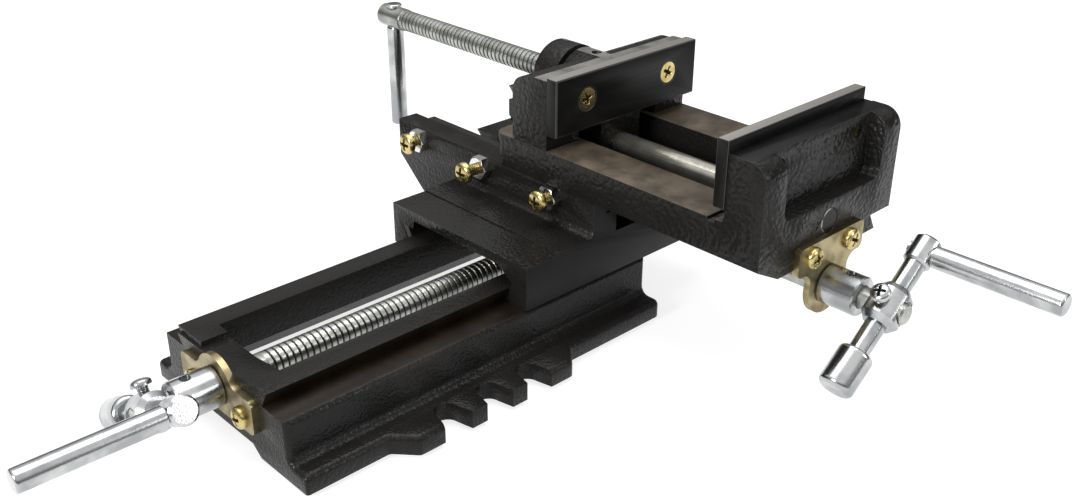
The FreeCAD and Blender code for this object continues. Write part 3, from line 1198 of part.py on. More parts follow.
def make_jaw_plate(name, back, front, low, facing):
    """A hardened plate between two y places, its countersinks on the side that faces the work."""
    body = add_body(name)
    start = s.body_middle - s.body_half
    end = s.body_middle + s.body_half
    slab(body, "plate", "y", back, front, [
        (start, low), (end, low), (end, s.plate_high), (start, s.plate_high),
    ])
    face = front if facing > 0 else back
    bolt = s.flat_screw_radius + s.press_fit_gap
    cut(body, "screw_holes", "y", back - s.past, front + s.past,
        Circle(s.body_middle - s.plate_screw_x, s.plate_screw_z, bolt),
        Circle(s.body_middle + s.plate_screw_x, s.plate_screw_z, bolt))
    shape = body.Shape
    rims = []
    for side in (-1, 1):
        x = s.body_middle + s.plate_screw_x * side
        rims += edges_at(shape, y=face, x=(x - bolt, x + bolt),
                         z=(s.plate_screw_z - bolt, s.plate_screw_z + bolt))
    sink = s.flat_head_radius + s.flat_head_rim + s.flat_head_sink - s.flat_screw_radius
    soften(body, "countersinks", sink, rims, "Chamfer")
    shape = body.Shape
    edges = []
    for x in (start, end):
        edges += edges_at(shape, along="z", x=x, y=face)
    for z in (low, s.plate_high):
        edges += edges_at(shape, along="x", y=face, z=z)
    soften(body, "front_edges", s.plate_chamfer, edges, "Chamfer")
    return body


def make_moving_jaw():
    """The moving jaw: two feet on the ways, a tenon down to the guide rod and a neck for the clamp screw."""
    body = add_body("moving_jaw")
    start = s.body_middle - s.body_half
    end = s.body_middle + s.body_half
    rest = s.way_top + s.slide_gap
    crown_top = s.moving_top - s.crown_step
    slab(body, "block", "x", start, end, [
        (-s.moving_front, rest), (s.moving_back, rest), (s.moving_back, crown_top - s.jaw_crown),
        Arc(s.moving_back - s.jaw_crown, crown_top - s.jaw_crown), (s.moving_back - s.jaw_crown, crown_top),
        (-s.neck_start, crown_top), (-s.neck_start, s.moving_top), (-s.moving_front, s.moving_top),
    ])
    slab(body, "neck", "y", -s.neck_start, s.neck_end, Circle(s.body_middle, s.clamp_axis, s.neck_radius_big))
    loops = []
    for side in (-1, 1):
        outer = s.body_middle + (s.body_half - s.foot_inner) * side
        inner = s.body_middle + s.tenon_half * side
        loop = [(outer, rest - s.past), (inner, rest - s.past), (inner, s.hollow_top), (outer, s.hollow_top)]
        loops.append(loop if side < 0 else [loop[1], loop[0], loop[3], loop[2]])
    cut(body, "hollows", "y", -s.moving_front - s.past, s.moving_back + s.past, *loops)
    slab(body, "tenon", "y", -s.tenon_front, s.moving_back, [
        (s.body_middle - s.tenon_half, s.tenon_low), (s.body_middle + s.tenon_half, s.tenon_low),
        (s.body_middle + s.tenon_half, s.moving_plate_low),
        (s.body_middle - s.tenon_half, s.moving_plate_low),
    ])
    cut(body, "guide_rod_bore", "y", -s.tenon_front - s.past, s.moving_back + s.past,
        Circle(s.body_middle, s.rod_axis, s.rod_radius + s.running_fit))
    cut(body, "clamp_tip_bore", "y", -s.clamp_tip_end - s.running_fit, s.neck_end + s.past,
        Circle(s.body_middle, s.clamp_axis, s.clamp_tip_radius + s.running_fit))
    bolt = s.flat_screw_radius + s.press_fit_gap
    cut(body, "plate_screw_holes", "y", -s.moving_front - s.past, -s.moving_front + s.flat_screw_length,
        Circle(s.body_middle - s.plate_screw_x, s.plate_screw_z, bolt),
        Circle(s.body_middle + s.plate_screw_x, s.plate_screw_z, bolt))
    cut(body, "retaining_screw_hole", "z", s.clamp_axis, s.moving_top + s.past,
        Circle(s.body_middle, -s.retainer_y, s.retainer_radius + s.press_fit_gap))
    return body


def make_retaining_screw():
    """The set screw whose tip runs in the groove round the clamp screw's tip."""
    body = add_body("jaw_retaining_screw")
    length = s.boss_radius - s.retainer_low - s.clamp_tip_radius + s.groove_depth - s.retainer_gap
    turned(body, "shank", [(0, 0), (length, 0), (length, s.retainer_radius), (0, s.retainer_radius)])
    place(body, s.body_middle, -s.retainer_y,
          s.clamp_axis + s.clamp_tip_radius - s.groove_depth + s.retainer_gap,
          outward=(0, 0, 1), upward=(0, -1, 0))
    return body


def make_guide_rod():
    """The rod that the moving jaw's tenon slides on."""
    body = add_body("guide_rod")
    turned(body, "rod", [
        (-s.body_near, 0), (s.rod_far - s.running_fit, 0), (s.rod_far - s.running_fit, s.rod_radius),
        (-s.body_near, s.rod_radius),
    ])
    shape = body.Shape
    soften(body, "end_chamfer", s.rim_chamfer, edges_at(shape, x=-s.body_near), "Chamfer")
    place(body, s.body_middle, 0, s.rod_axis, outward=(0, 1, 0))
    return body


def make_clamp_screw():
    """The clamp screw: grooved tip in the moving jaw, thread through the boss, head for the handle."""
    body = add_body("clamp_screw")
    waist = s.clamp_tip_radius - s.groove_depth
    turned(body, "turned_outline", [
        (-s.clamp_tip_end, 0), (-s.clamp_tip_end, s.clamp_tip_radius),
        (-s.retainer_y - s.groove_half, s.clamp_tip_radius), (-s.retainer_y - s.groove_half, waist),
        (-s.retainer_y + s.groove_half, waist), (-s.retainer_y + s.groove_half, s.clamp_tip_radius),
        (s.clamp_thread_start, s.clamp_tip_radius), (s.clamp_thread_start, s.thread_radius),
        (s.clamp_thread_end, s.thread_radius), (s.clamp_thread_end, s.clamp_head_radius),
        (s.clamp_head_end, s.clamp_head_radius), (s.clamp_head_end, 0),
    ])
    shape = body.Shape
    soften(body, "head_chamfer", s.head_chamfer, edges_at(shape, x=s.clamp_head_end), "Chamfer")
    cut(body, "handle_hole", "z", -s.clamp_head_radius - s.past, s.clamp_head_radius + s.past,
        Circle(s.handle_y, 0, s.spigot_radius + s.press_fit_gap))
    place(body, s.body_middle, 0, s.clamp_axis, outward=(0, 1, 0))
    return body


def make_clamp_handle():
    """The clamp screw's handle, riveted through the head and hanging down."""
    body = add_body("clamp_handle")
    top = s.clamp_head_radius
    end = s.clamp_axis - s.handle_low
    turned(body, "turned_outline", [
        (-top - s.rivet_thick, 0), (-top - s.rivet_thick, s.rivet_radius), (-top, s.rivet_radius),
        (-top, s.spigot_radius), (top, s.spigot_radius), (top, s.handle_radius), (end, s.handle_radius),
        (end, 0),
    ])
    shape = body.Shape
    soften(body, "end_round", s.grip_round, edges_at(shape, x=end))
    shape = body.Shape
    soften(body, "rivet_round", s.rivet_round, edges_at(shape, x=-top - s.rivet_thick))
    place(body, s.body_middle, s.handle_y, s.clamp_axis, outward=(0, 0, -1), upward=(0, -1, 0))
    return body


# Everything in its place
def screw_rows():
    """The rows of screws and nuts, each row one node."""
    rows = []
    screws = []
    for side in (-1, 1):
        screw = make_pan_screw("lower_bracket_screw_" + str(len(screws) + 1), s.pan_screw_length,
                               s.pan_screw_radius, s.pan_head_radius, s.pan_head_thick)
        place(screw, -s.base_half - s.bracket_thick, s.lower_bracket_screw_y * side, s.lower_bracket_screw_z,
              outward=(-1, 0, 0))
        screws.append(screw)
    rows.append(group("lower_bracket_screws", screws))
    screws = []
    for side in (-1, 1):
        screw = make_pan_screw("upper_bracket_screw_" + str(len(screws) + 1), s.pan_screw_length,
                               s.pan_screw_radius, s.pan_head_radius, s.pan_head_thick)
        place(screw, s.body_middle + s.upper_bracket_screw_x * side, -s.body_near - s.bracket_thick,
              s.upper_bracket_screw_z, outward=(0, -1, 0))
        screws.append(screw)
    rows.append(group("upper_bracket_screws", screws))
    screws = []
    for side in (-1, 1):
        screw = make_pan_screw("lower_nut_screw_" + str(len(screws) + 1), s.nut_screw_length,
                               s.pan_screw_radius, s.lower_nut_head_radius, s.pan_head_thick)
        place(screw, (s.lower_nut_start + s.lower_nut_end) / 2, s.lower_nut_screw_y * side,
              s.lower_nut_flange_low, outward=(0, 0, -1), upward=(0, 1, 0))
        screws.append(screw)
    rows.append(group("lower_nut_screws", screws))
    screws = []
    for side in (-1, 1):
        screw = make_pan_screw("cross_nut_screw_" + str(len(screws) + 1), s.nut_screw_length,
                               s.pan_screw_radius, s.cross_nut_head_radius, s.pan_head_thick)
        place(screw, s.body_middle + s.cross_nut_screw_x * side, -s.cross_nut_near + s.cross_nut_long / 2,
              s.cross_nut_ear_top, outward=(0, 0, 1), upward=(0, 1, 0))
        screws.append(screw)
    rows.append(group("cross_nut_screws", screws))
    screws = []
    nuts = []
    for number in range(3):
        y = s.upper_gib_screw_first + s.upper_gib_screw_pitch * number
        stand = s.upper_gib_screw_slack if number == 1 else s.upper_gib_screw_stand
        head = s.ear_x - s.gib_nut_thick - stand
        screw = make_pan_screw("upper_gib_screw_" + str(number + 1), upper_gib_tip() - s.running_fit - head,
                               s.gib_screw_radius, s.gib_head_radius, s.gib_head_thick)
        place(screw, head, y, s.upper_gib_screw_z, outward=(-1, 0, 0))
        screws.append(screw)
        nut = make_nut("upper_gib_nut_" + str(number + 1), s.gib_nut_across, s.gib_nut_thick,
                       s.gib_screw_radius + s.press_fit_gap)
        place(nut, s.ear_x, y, s.upper_gib_screw_z, outward=(-1, 0, 0))
        nuts.append(nut)
    rows.append(group("upper_gib_screws", screws))
    rows.append(group("upper_gib_nuts", nuts))
    screws = []
    nuts = []
    for number in range(3):
        x = s.lower_gib_screw_first + s.lower_gib_screw_pitch * number
        head = s.saddle_far + s.gib_nut_thick + s.lower_gib_screw_stand
        screw = make_pan_screw("lower_gib_screw_" + str(number + 1), head - lower_gib_tip() - s.running_fit,
                               s.gib_screw_radius, s.gib_head_radius, s.gib_head_thick)
        place(screw, x, head, s.lower_gib_screw_z, outward=(0, 1, 0))
        screws.append(screw)
        nut = make_nut("lower_gib_nut_" + str(number + 1), s.gib_nut_across, s.gib_nut_thick,
                       s.gib_screw_radius + s.press_fit_gap)
        place(nut, x, s.saddle_far, s.lower_gib_screw_z, outward=(0, 1, 0))
        nuts.append(nut)
    rows.append(group("lower_gib_screws", screws))
    rows.append(group("lower_gib_nuts", nuts))
    for name, face, facing in (("fixed_jaw_plate_screws", -s.fixed_plate_front - s.flat_head_sink, 1),
                               ("moving_jaw_plate_screws", -s.moving_plate_front + s.flat_head_sink, -1)):
        screws = []
        for side in (-1, 1):
            screw = make_flat_screw(name[:-1] + "_" + str(len(screws) + 1))
            place(screw, s.body_middle + s.plate_screw_x * side, face, s.plate_screw_z,
                  outward=(0, facing, 0))
            screws.append(screw)
        rows.append(group(name, screws))
    return rows


def crank_set(prefix, angle, hub, outward, along):
    """One crank: arm, grip, set screw, collar and grub screw, all fixed to one leadscrew.
    hub is the middle of the arm's hub, outward points away from the vise, along is level and square to it."""
    turn = math.radians(angle.value)
    out = FreeCAD.Vector(*outward)
    arm_way = FreeCAD.Vector(*along) * math.cos(turn) + FreeCAD.Vector(0, 0, math.sin(turn))
    frame = FreeCAD.Rotation(arm_way, out, arm_way.cross(out), "XYZ")
    made = []
    arm = make_crank_arm(prefix + "_crank_arm")
    arm.Placement = FreeCAD.Placement(FreeCAD.Vector(0, 0, 0), frame)
    made.append(arm)
    grip = make_grip(prefix + "_crank_grip")
    grip.Placement = FreeCAD.Placement(
        FreeCAD.Vector(0, 0, 0), FreeCAD.Rotation(out, -arm_way, FreeCAD.Vector(0, 0, 0), "XYZ"))
    made.append(grip)
    screw_way = -arm_way.cross(out)
    screw = make_pan_screw(prefix + "_crank_set_screw", s.set_screw_stand - s.shaft_radius,
                           s.set_screw_radius, s.set_head_radius, s.pan_head_thick)
    screw.Placement = FreeCAD.Placement(
        FreeCAD.Vector(0, 0, 0), FreeCAD.Rotation(screw_way, out, FreeCAD.Vector(0, 0, 0), "XYZ"))
    made.append(screw)
    offsets = {
        arm: FreeCAD.Vector(0, 0, 0),
        grip: arm_way,
        screw: screw_way,
    }
    reach = {arm: s.grip_offset, grip: s.grip_offset, screw: s.set_screw_stand}
    for piece in made:
        way = offsets[piece]
        for axis, start in zip("xyz", hub):
            bind(piece, "Placement.Base." + axis, as_size(start) + reach[piece] * getattr(way, axis))
    return made


makers = [
    make_base, make_lower_bracket, make_lower_leadscrew, make_saddle, make_lower_gib, make_upper_gib,
    make_lower_nut, make_cross_nut, make_vise_body, make_upper_bracket, make_cross_leadscrew,
    make_fixed_plate, make_guide_rod, make_moving_jaw, make_moving_plate, make_retaining_screw,
    make_clamp_screw, make_clamp_handle,
]
pieces = [make() for make in makers]
pieces += screw_rows()
pieces += crank_set("lower", s.lower_crank_angle, (-s.base_half - s.lower_crank_out, 0, s.lower_axis),
                    (-1, 0, 0), (0, -1, 0))
pieces += crank_set("upper", s.upper_crank_angle,
                    (s.body_middle, -s.body_near - s.upper_crank_out, s.upper_axis),
                    (0, -1, 0), (1, 0, 0))

lower_collar_length = s.lower_collar_out - s.bracket_thick - s.slide_gap
lower_collar = make_collar("lower_collar", lower_collar_length)
place(lower_collar, -s.base_half - s.bracket_thick - s.slide_gap, 0, s.lower_axis, outward=(-1, 0, 0))
upper_collar_length = s.upper_collar_out - s.bracket_thick - s.slide_gap
upper_collar = make_collar("upper_collar", upper_collar_length)
place(upper_collar, s.body_middle, -s.body_near - s.bracket_thick - s.slide_gap, s.upper_axis,
      outward=(0, -1, 0))
lower_grub = make_grub("lower_collar_grub_screw")
place(lower_grub, -s.base_half - s.bracket_thick - s.slide_gap - lower_collar_length * s.grub_place, 0,
      s.lower_axis + s.shaft_radius, outward=(0, 0, 1), upward=(0, 1, 0))
upper_grub = make_grub("upper_collar_grub_screw")
place(upper_grub, s.body_middle,
      -s.body_near - s.bracket_thick - s.slide_gap - upper_collar_length * s.grub_place,
      s.upper_axis + s.shaft_radius, outward=(0, 0, 1), upward=(0, 1, 0))
pieces += [lower_collar, upper_collar, lower_grub, upper_grub]

doc.recompute()

# Look every piece over, then write it
for thing in doc.Objects:
    if "Invalid" in thing.State or "Error" in thing.State:
        raise ValueError(thing.Name + " did not compute")
triangles = 0
for piece in pieces:
    shape = piece.Shape
    if shape.isNull() or not shape.isValid():
        raise ValueError(piece.Label + " has no sound shape")
    shape.exportStep("parts/" + piece.Label + ".step")
    triangles += len(shape.tessellate(0.1)[1])
    box = shape.BoundBox
    print(piece.Label, len(shape.Solids), "solid",
          [round(value, 1) for value in (box.XMin, box.XMax, box.YMin, box.YMax, box.ZMin, box.ZMax)])
print(len(pieces), "pieces", triangles, "triangles")
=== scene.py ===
# %% [markdown]
# # A cross slide vise, finished around its CAD solids
# The solids arrive already placed, in metres, with the middle of the base's underside at the origin, and
# they are never moved. This lesson gives them their casting texture, plating and machined faces, and lets
# real helical threads and cross-slotted heads stand for the plain screws.

import math
from collections import namedtuple

import bmesh
import bpy
import numpy as np
from mathutils import Matrix, Vector


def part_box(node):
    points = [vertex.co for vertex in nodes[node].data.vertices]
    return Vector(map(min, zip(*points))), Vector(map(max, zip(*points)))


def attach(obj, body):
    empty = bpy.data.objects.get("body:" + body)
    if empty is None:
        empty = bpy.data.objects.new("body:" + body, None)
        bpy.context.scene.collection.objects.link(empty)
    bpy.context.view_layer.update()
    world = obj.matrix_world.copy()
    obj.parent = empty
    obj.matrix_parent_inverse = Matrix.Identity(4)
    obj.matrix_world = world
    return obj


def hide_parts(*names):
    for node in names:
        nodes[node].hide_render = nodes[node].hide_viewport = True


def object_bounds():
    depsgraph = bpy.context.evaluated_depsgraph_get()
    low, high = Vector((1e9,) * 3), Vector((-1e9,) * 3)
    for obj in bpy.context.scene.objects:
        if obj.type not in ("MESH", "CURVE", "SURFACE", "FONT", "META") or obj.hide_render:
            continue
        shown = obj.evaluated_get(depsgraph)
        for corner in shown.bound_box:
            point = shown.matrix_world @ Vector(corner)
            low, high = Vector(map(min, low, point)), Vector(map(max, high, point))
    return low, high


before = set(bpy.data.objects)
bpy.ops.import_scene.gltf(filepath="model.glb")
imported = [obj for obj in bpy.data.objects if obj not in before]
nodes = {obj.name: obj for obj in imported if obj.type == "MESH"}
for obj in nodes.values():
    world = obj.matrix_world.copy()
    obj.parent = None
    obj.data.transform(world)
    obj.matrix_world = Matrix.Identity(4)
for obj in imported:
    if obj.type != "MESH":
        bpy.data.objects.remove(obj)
solid_low, solid_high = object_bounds()
print(len(nodes), "solids,", [round(v, 3) for v in solid_high - solid_low], "m over all")

# %% [markdown]
# ## The camera
# Edges that are parallel on the vise run together in the photograph, and where they would meet tells how
# the camera was held. The place, direction and focal length below were worked out from the base's long
# edges, the body's long edges and the upright corners. Guessing them by eye would also work, but every
# later comparison with the photograph would suffer from the guess.

# %% Camera
CAMERA_PLACE = Vector((-0.2976, -0.3969, 0.3011))
CAMERA_YAW = 43.53
CAMERA_PITCH = -26.94
CAMERA_ROLL = 0.235
FOCAL_OVER_WIDTH = 1.0933
SENSOR = 36.0
NEAREST = 0.01


def add_object(name, data):
    """An object at the origin, linked into the scene."""
    thing = bpy.data.objects.new(name, data)
    bpy.context.scene.collection.objects.link(thing)
    return thing


def camera_turn(yaw, pitch, roll):
    """The camera's own axes: forwards from yaw and pitch, level right, then a small roll round forwards."""
    yaw, pitch, roll = (math.radians(v) for v in (yaw, pitch, roll))
    forward = Vector((math.sin(yaw) * math.cos(pitch), math.cos(yaw) * math.cos(pitch), math.sin(pitch)))
    level = forward.cross(Vector((0, 0, 1))).normalized()
    above = level.cross(forward)
    right = level * math.cos(roll) + above * math.sin(roll)
    up = above * math.cos(roll) - level * math.sin(roll)
    return Matrix((right, up, -forward)).transposed().to_4x4()


camera_data = bpy.data.cameras.new("camera")
camera_data.sensor_width = SENSOR
camera_data.lens = FOCAL_OVER_WIDTH * SENSOR
camera_data.clip_start = NEAREST
camera = add_object("camera", camera_data)
camera.matrix_world = Matrix.Translation(CAMERA_PLACE) @ camera_turn(CAMERA_YAW, CAMERA_PITCH, CAMERA_ROLL)
bpy.context.scene.camera = camera
bpy.context.scene.view_settings.view_transform = "Standard"
print("lens", round(camera_data.lens, 2), "mm")

# %% [markdown]
# ## Small tools for materials
# A material is a tree of nodes, and a recipe is easier to read when each node takes one line. So one helper
# gives a socket a plain value or joins another socket to it, one adds a node with all its inputs, and one
# starts an empty material.

# %% Node tools
def feed(tree, value, socket):
    """Give a socket a plain value, or join another socket to it."""
    if hasattr(value, "links"):
        tree.links.new(value, socket)
    else:
        socket.default_value = value


def add_node(tree, kind, inputs=None, **settings):
    """A shader node with its settings. Inputs are {name or number: socket or plain value}."""
    node = tree.nodes.new("ShaderNode" + kind)
    for label, value in settings.items():
        setattr(node, label, value)
    for label, value in (inputs or {}).items():
        feed(tree, value, node.inputs[label])
    return node


def new_material(name):
    """A material whose node tree holds an output and nothing else."""
    material = bpy.data.materials.new(name)
    material.use_nodes = True
    material.node_tree.nodes.clear()
    return material, material.node_tree, add_node(material.node_tree, "OutputMaterial")


def math_node(tree, operation, *values):
    """The result of a Math node on sockets or plain numbers."""
    return add_node(tree, "Math", dict(enumerate(values)), operation=operation).outputs[0]


def mix_shaders(tree, factor, first, second):
    """The first shader where the factor is 0, the second where it is 1."""
    return add_node(tree, "MixShader", {0: factor, 1: first, 2: second}).outputs[0]


def seen_rays(tree):
    """Two factors: 1 for rays from the camera alone, and 1 also for rays off a mirror or through glass."""
    path = add_node(tree, "LightPath").outputs
    straight = math_node(tree, "MAXIMUM", path["Is Camera Ray"], path["Is Glossy Ray"])
    return path["Is Camera Ray"], math_node(tree, "MAXIMUM", straight, path["Is Transmission Ray"])


print("node tools ready")

# %% [markdown]
# ## The floor
# A product picture on white. Turning the lamps up until the floor is white would wash out the vise, so the
# floor is a sheet of paper that has part of its white as its own glow, but only for rays that are seen.
# It stays white right under the vise and still shows a soft shadow. Plain bounced light meets ordinary
# paper.

# %% Floor
FLOOR_COLOUR = (0.36, 0.36, 0.36, 1)
FLOOR_GLOW = 0.80
PAPER_COLOUR = (0.80, 0.80, 0.80, 1)
FLOOR_HALF = 6.0
FLOOR_GAP = 0.0002

floor_height = solid_low.z - FLOOR_GAP
floor_corners = [
    (x * FLOOR_HALF, y * FLOOR_HALF, floor_height) for x, y in ((-1, -1), (1, -1), (1, 1), (-1, 1))]
floor_mesh = bpy.data.meshes.new("floor")
floor_mesh.from_pydata(floor_corners, [], [(0, 1, 2, 3)])
floor = add_object("floor", floor_mesh)
floor_material, tree, output = new_material("pale_floor")
paper = add_node(tree, "BsdfDiffuse", {"Color": PAPER_COLOUR})
shown = add_node(tree, "BsdfDiffuse", {"Color": FLOOR_COLOUR})
glow = add_node(tree, "Emission", {"Strength": FLOOR_GLOW})
glowing = add_node(tree, "AddShader", {0: shown.outputs[0], 1: glow.outputs[0]})
picked = mix_shaders(tree, seen_rays(tree)[1], paper.outputs[0], glowing.outputs[0])
feed(tree, picked, output.inputs["Surface"])
floor.data.materials.append(floor_material)
print("floor at", round(solid_low.z * 1000, 2), "mm")

# %% [markdown]
# ## The room
# Bare metal looks like whatever stands round it. A room of one even grey makes it look like plastic, so
# the room that a mirror sees has a bright ceiling and walls that are darker than the floor. Every round
# bar then gets one dark streak between two light ones. The camera itself sees plain white.

# %% Room
ROOM_LIGHT = 0.5
WALL = 0.16
CEILING = 1.0
WALL_TOP = 0.30
CEILING_START = 0.62
WHITE = (1, 1, 1, 1)

world = bpy.data.worlds.new("studio")
bpy.context.scene.world = world
world.use_nodes = True
tree = world.node_tree
tree.nodes.clear()
way = add_node(tree, "TexCoord")
split = add_node(tree, "SeparateXYZ", {0: way.outputs["Generated"]})
rise = add_node(tree, "MapRange", {
    "Value": split.outputs["Z"], "From Min": WALL_TOP, "From Max": CEILING_START, "To Min": WALL,
    "To Max": CEILING,
}, interpolation_type="SMOOTHSTEP")
plain_light, mirrored, white = (
    add_node(tree, "Background", {"Color": WHITE, "Strength": strength}).outputs[0]
    for strength in (ROOM_LIGHT, rise.outputs[0], 1.0))
camera_ray, seen_ray = seen_rays(tree)
indirect = mix_shaders(tree, seen_ray, plain_light, mirrored)
add_node(tree, "OutputWorld", {"Surface": mix_shaders(tree, camera_ray, indirect, white)})
print("room: walls at", WALL, "and ceiling at", CEILING)

# %% [markdown]
# ## The lamps
# Black enamel shows its form by highlights alone. One wide lamp overhead lays them along the top edges, a
# smaller one on the left lights the castings' ends, and a weak one on the right keeps the long sides from
# going flat. Three area lamps are used, because a point lamp would leave hard sparks on the lumps.

# %% Lamps
def soft_lamp(name, place, target, wide, tall, watts):
    """A rectangular area lamp that looks at a point."""
    data = bpy.data.lights.new(name, "AREA")
    data.shape = "RECTANGLE"
    data.size = wide
    data.size_y = tall
    data.energy = watts
    place = Vector(place)
    towards = (Vector(target) - place).to_track_quat("-Z", "Y")
    add_object(name, data).matrix_world = Matrix.Translation(place) @ towards.to_matrix().to_4x4()


soft_lamp("over", place=(0.1, 0.15, 1.3), target=(0.05, 0.0, 0.05), wide=1.2, tall=0.9, watts=13)
soft_lamp("left", place=(-1.2, -0.1, 0.6), target=(0.0, 0.0, 0.06), wide=0.35, tall=0.35, watts=11)
soft_lamp("right", place=(0.5, -1.2, 0.55), target=(0.1, 0.0, 0.06), wide=0.25, tall=0.4, watts=3)
print("lamps:", [light.name for light in bpy.data.lights])

# %% [markdown]
# ## Casting lumps
# Iron that was cast in sand and then painted is lumpy, like hammered leather, with a finer grain over it.
# Noise alone gives soft clouds. Rounded cells with a swaying border, from a smooth Voronoi pattern, look
# like the enamel's pebbles. Several castings need them, so they go into a group of nodes with named
# inputs and outputs. A second output, a slow patch, says where the enamel is more worn.

# %% Casting lumps
SWAY_SCALE = 220.0
SWAY = (0.0028, 0.0028, 0.0028)
LUMP_SMOOTHNESS = 0.55
PATCH_SCALE = 34.0


def new_group(name, inputs, outputs):
    """An empty shader group, its input sockets and its output sockets. Inputs are {name: (kind, value)}
    and outputs are names of numbers."""
    group = bpy.data.node_groups.new(name, "ShaderNodeTree")
    for label, (kind, value) in inputs.items():
        socket = group.interface.new_socket(label, in_out="INPUT", socket_type="NodeSocket" + kind)
        if value is not None:
            socket.default_value = value
    for label in outputs:
        group.interface.new_socket(label, in_out="OUTPUT", socket_type="NodeSocketFloat")
    return group, group.nodes.new("NodeGroupInput").outputs, group.nodes.new("NodeGroupOutput").inputs


casting_group, given, result = new_group("casting_lumps", {
    "Place": ("Vector", None),
    "Lumps per metre": ("Float", 300.0),
    "Grain per metre": ("Float", 1500.0),
    "Grain share": ("Float", 0.10),
}, ("Height", "Patch"))
sway = add_node(casting_group, "TexNoise", {"Vector": given["Place"], "Scale": SWAY_SCALE, "Detail": 1.0})
shifted = add_node(casting_group, "VectorMath", {0: sway.outputs["Color"], 1: SWAY, 2: given["Place"]},
                   operation="MULTIPLY_ADD")
pebbles = add_node(casting_group, "TexVoronoi", {
    "Vector": shifted.outputs[0], "Scale": given["Lumps per metre"], "Smoothness": LUMP_SMOOTHNESS,
}, feature="SMOOTH_F1")
grain = add_node(casting_group, "TexNoise", {
    "Vector": given["Place"], "Scale": given["Grain per metre"], "Detail": 2.0})
patches = add_node(casting_group, "TexNoise", {"Vector": given["Place"], "Scale": PATCH_SCALE, "Detail": 2.0})
dome = math_node(casting_group, "SUBTRACT", 1.0, pebbles.outputs["Distance"])
grain_part = math_node(casting_group, "MULTIPLY", grain.outputs["Fac"], given["Grain share"])
feed(casting_group, math_node(casting_group, "ADD", dome, grain_part), result["Height"])
feed(casting_group, patches.outputs["Fac"], result["Patch"])
print(casting_group.name, "with", len(casting_group.nodes), "nodes")

# %% [markdown]
# ## Face masks
# A casting is painted all over and then machined where something slides or clamps. Those faces could be
# cut out as separate meshes, but they are all flat, so two simple questions find them: how far does the
# point lie along an axis, and does the surface face that way? The mask is 1 where both answers fit.

# %% Face masks
mask_group, given, result = new_group("level_face", {
    "Place": ("Vector", None),
    "Facing": ("Vector", None),
    "Axis": ("Vector", (0, 0, 1)),
    "Level": ("Float", 0.0),
    "Reach": ("Float", 0.0003),
    "Squareness": ("Float", 0.9),
}, ("Mask",))
along = add_node(mask_group, "VectorMath", {0: given["Place"], 1: given["Axis"]}, operation="DOT_PRODUCT")
square = add_node(mask_group, "VectorMath", {0: given["Facing"], 1: given["Axis"]}, operation="DOT_PRODUCT")
near = math_node(mask_group, "COMPARE", along.outputs["Value"], given["Level"], given["Reach"])
facing = math_node(mask_group, "GREATER_THAN", square.outputs["Value"], given["Squareness"])
feed(mask_group, math_node(mask_group, "MULTIPLY", near, facing), result["Mask"])
print(mask_group.name, "with", len(mask_group.nodes), "nodes")

# %% [markdown]
# ## Machining marks
# A milled or ground face carries fine straight lines, and oil dries on it in blotches. Noise that is
# stretched far along one direction gives the lines, and a broad noise with its contrast raised gives the
# blotches. The stretch is an input, because each piece was machined along its own length.

# %% Machining marks
BLOTCH_SCALE = 75.0
BLOTCH_ROUGHNESS = 0.62
BLOTCH_DARK = 0.36
BLOTCH_LIGHT = 0.64
ALONG_X = (1500.0, 40.0, 40.0)
ALONG_Y = (40.0, 1500.0, 40.0)
ALONG_Z = (40.0, 40.0, 1500.0)

marks_group, given, result = new_group("machining_marks", {
    "Place": ("Vector", None),
    "Stretch": ("Vector", ALONG_Y),
}, ("Height", "Shade"))
spread = add_node(marks_group, "VectorMath", {0: given["Place"], 1: given["Stretch"]}, operation="MULTIPLY")
fine = add_node(marks_group, "TexNoise", {"Vector": spread.outputs[0], "Scale": 1.0, "Detail": 3.0})
broad = add_node(marks_group, "TexNoise", {
    "Vector": given["Place"], "Scale": BLOTCH_SCALE, "Detail": 4.0, "Roughness": BLOTCH_ROUGHNESS})
blotch = add_node(marks_group, "MapRange", {
    "Value": broad.outputs["Fac"], "From Min": BLOTCH_DARK, "From Max": BLOTCH_LIGHT})
feed(marks_group, fine.outputs["Fac"], result["Height"])
feed(marks_group, blotch.outputs[0], result["Shade"])
print("groups:", [group.name for group in bpy.data.node_groups])

# %% [markdown]
# ## Enamelled castings with machined faces
# The base, saddle, body and moving jaw are cast iron under black enamel, bare on their ways and tops. One
# material holds both: lumps and gloss everywhere, and on each masked face a flat colour with cutter marks
# instead. Real black paint reflects only a few hundredths of the light, and its gloss is weaker than
# that of new lacquer, so both values are low.

# %% Enamel material
ENAMEL = (0.0075, 0.0072, 0.0070, 1)
ENAMEL_WORN = (0.0170, 0.0155, 0.0145, 1)
ENAMEL_SHINE = 0.14
GLOSSY = 0.14
BLOTCH_SHARE = 0.45
MARK_SHARE = 0.08

# A machined face: its axis and level, its colour, roughness and metal, and how exact the level is.
Face = namedtuple("Face", "axis level colour rough metal reach", defaults=(0.0, 0.0004))


def mix_colour(tree, factor, first, second):
    """A colour between two, from sockets or plain colours. On a Mix node they are inputs 6 and 7."""
    return add_node(tree, "Mix", {0: factor, 6: first, 7: second}, data_type="RGBA").outputs[2]


def mix_value(tree, factor, first, second):
    """A number between two, from sockets or plain numbers. On a Mix node they are inputs 2 and 3."""
    return add_node(tree, "Mix", {0: factor, 2: first, 3: second}, data_type="FLOAT").outputs[0]


def dimmed(colour, share):
    """A colour brought down to a share of its brightness."""
    return tuple(v * share for v in colour[:3]) + (1,)


def face_mask(tree, place, face):
    """1 on a machined face of the piece, 0 elsewhere."""
    return add_node(tree, "Group", {
        "Place": place["Object"], "Facing": place["Normal"], "Axis": face.axis, "Level": face.level,
        "Reach": face.reach,
    }, node_tree=mask_group).outputs["Mask"]


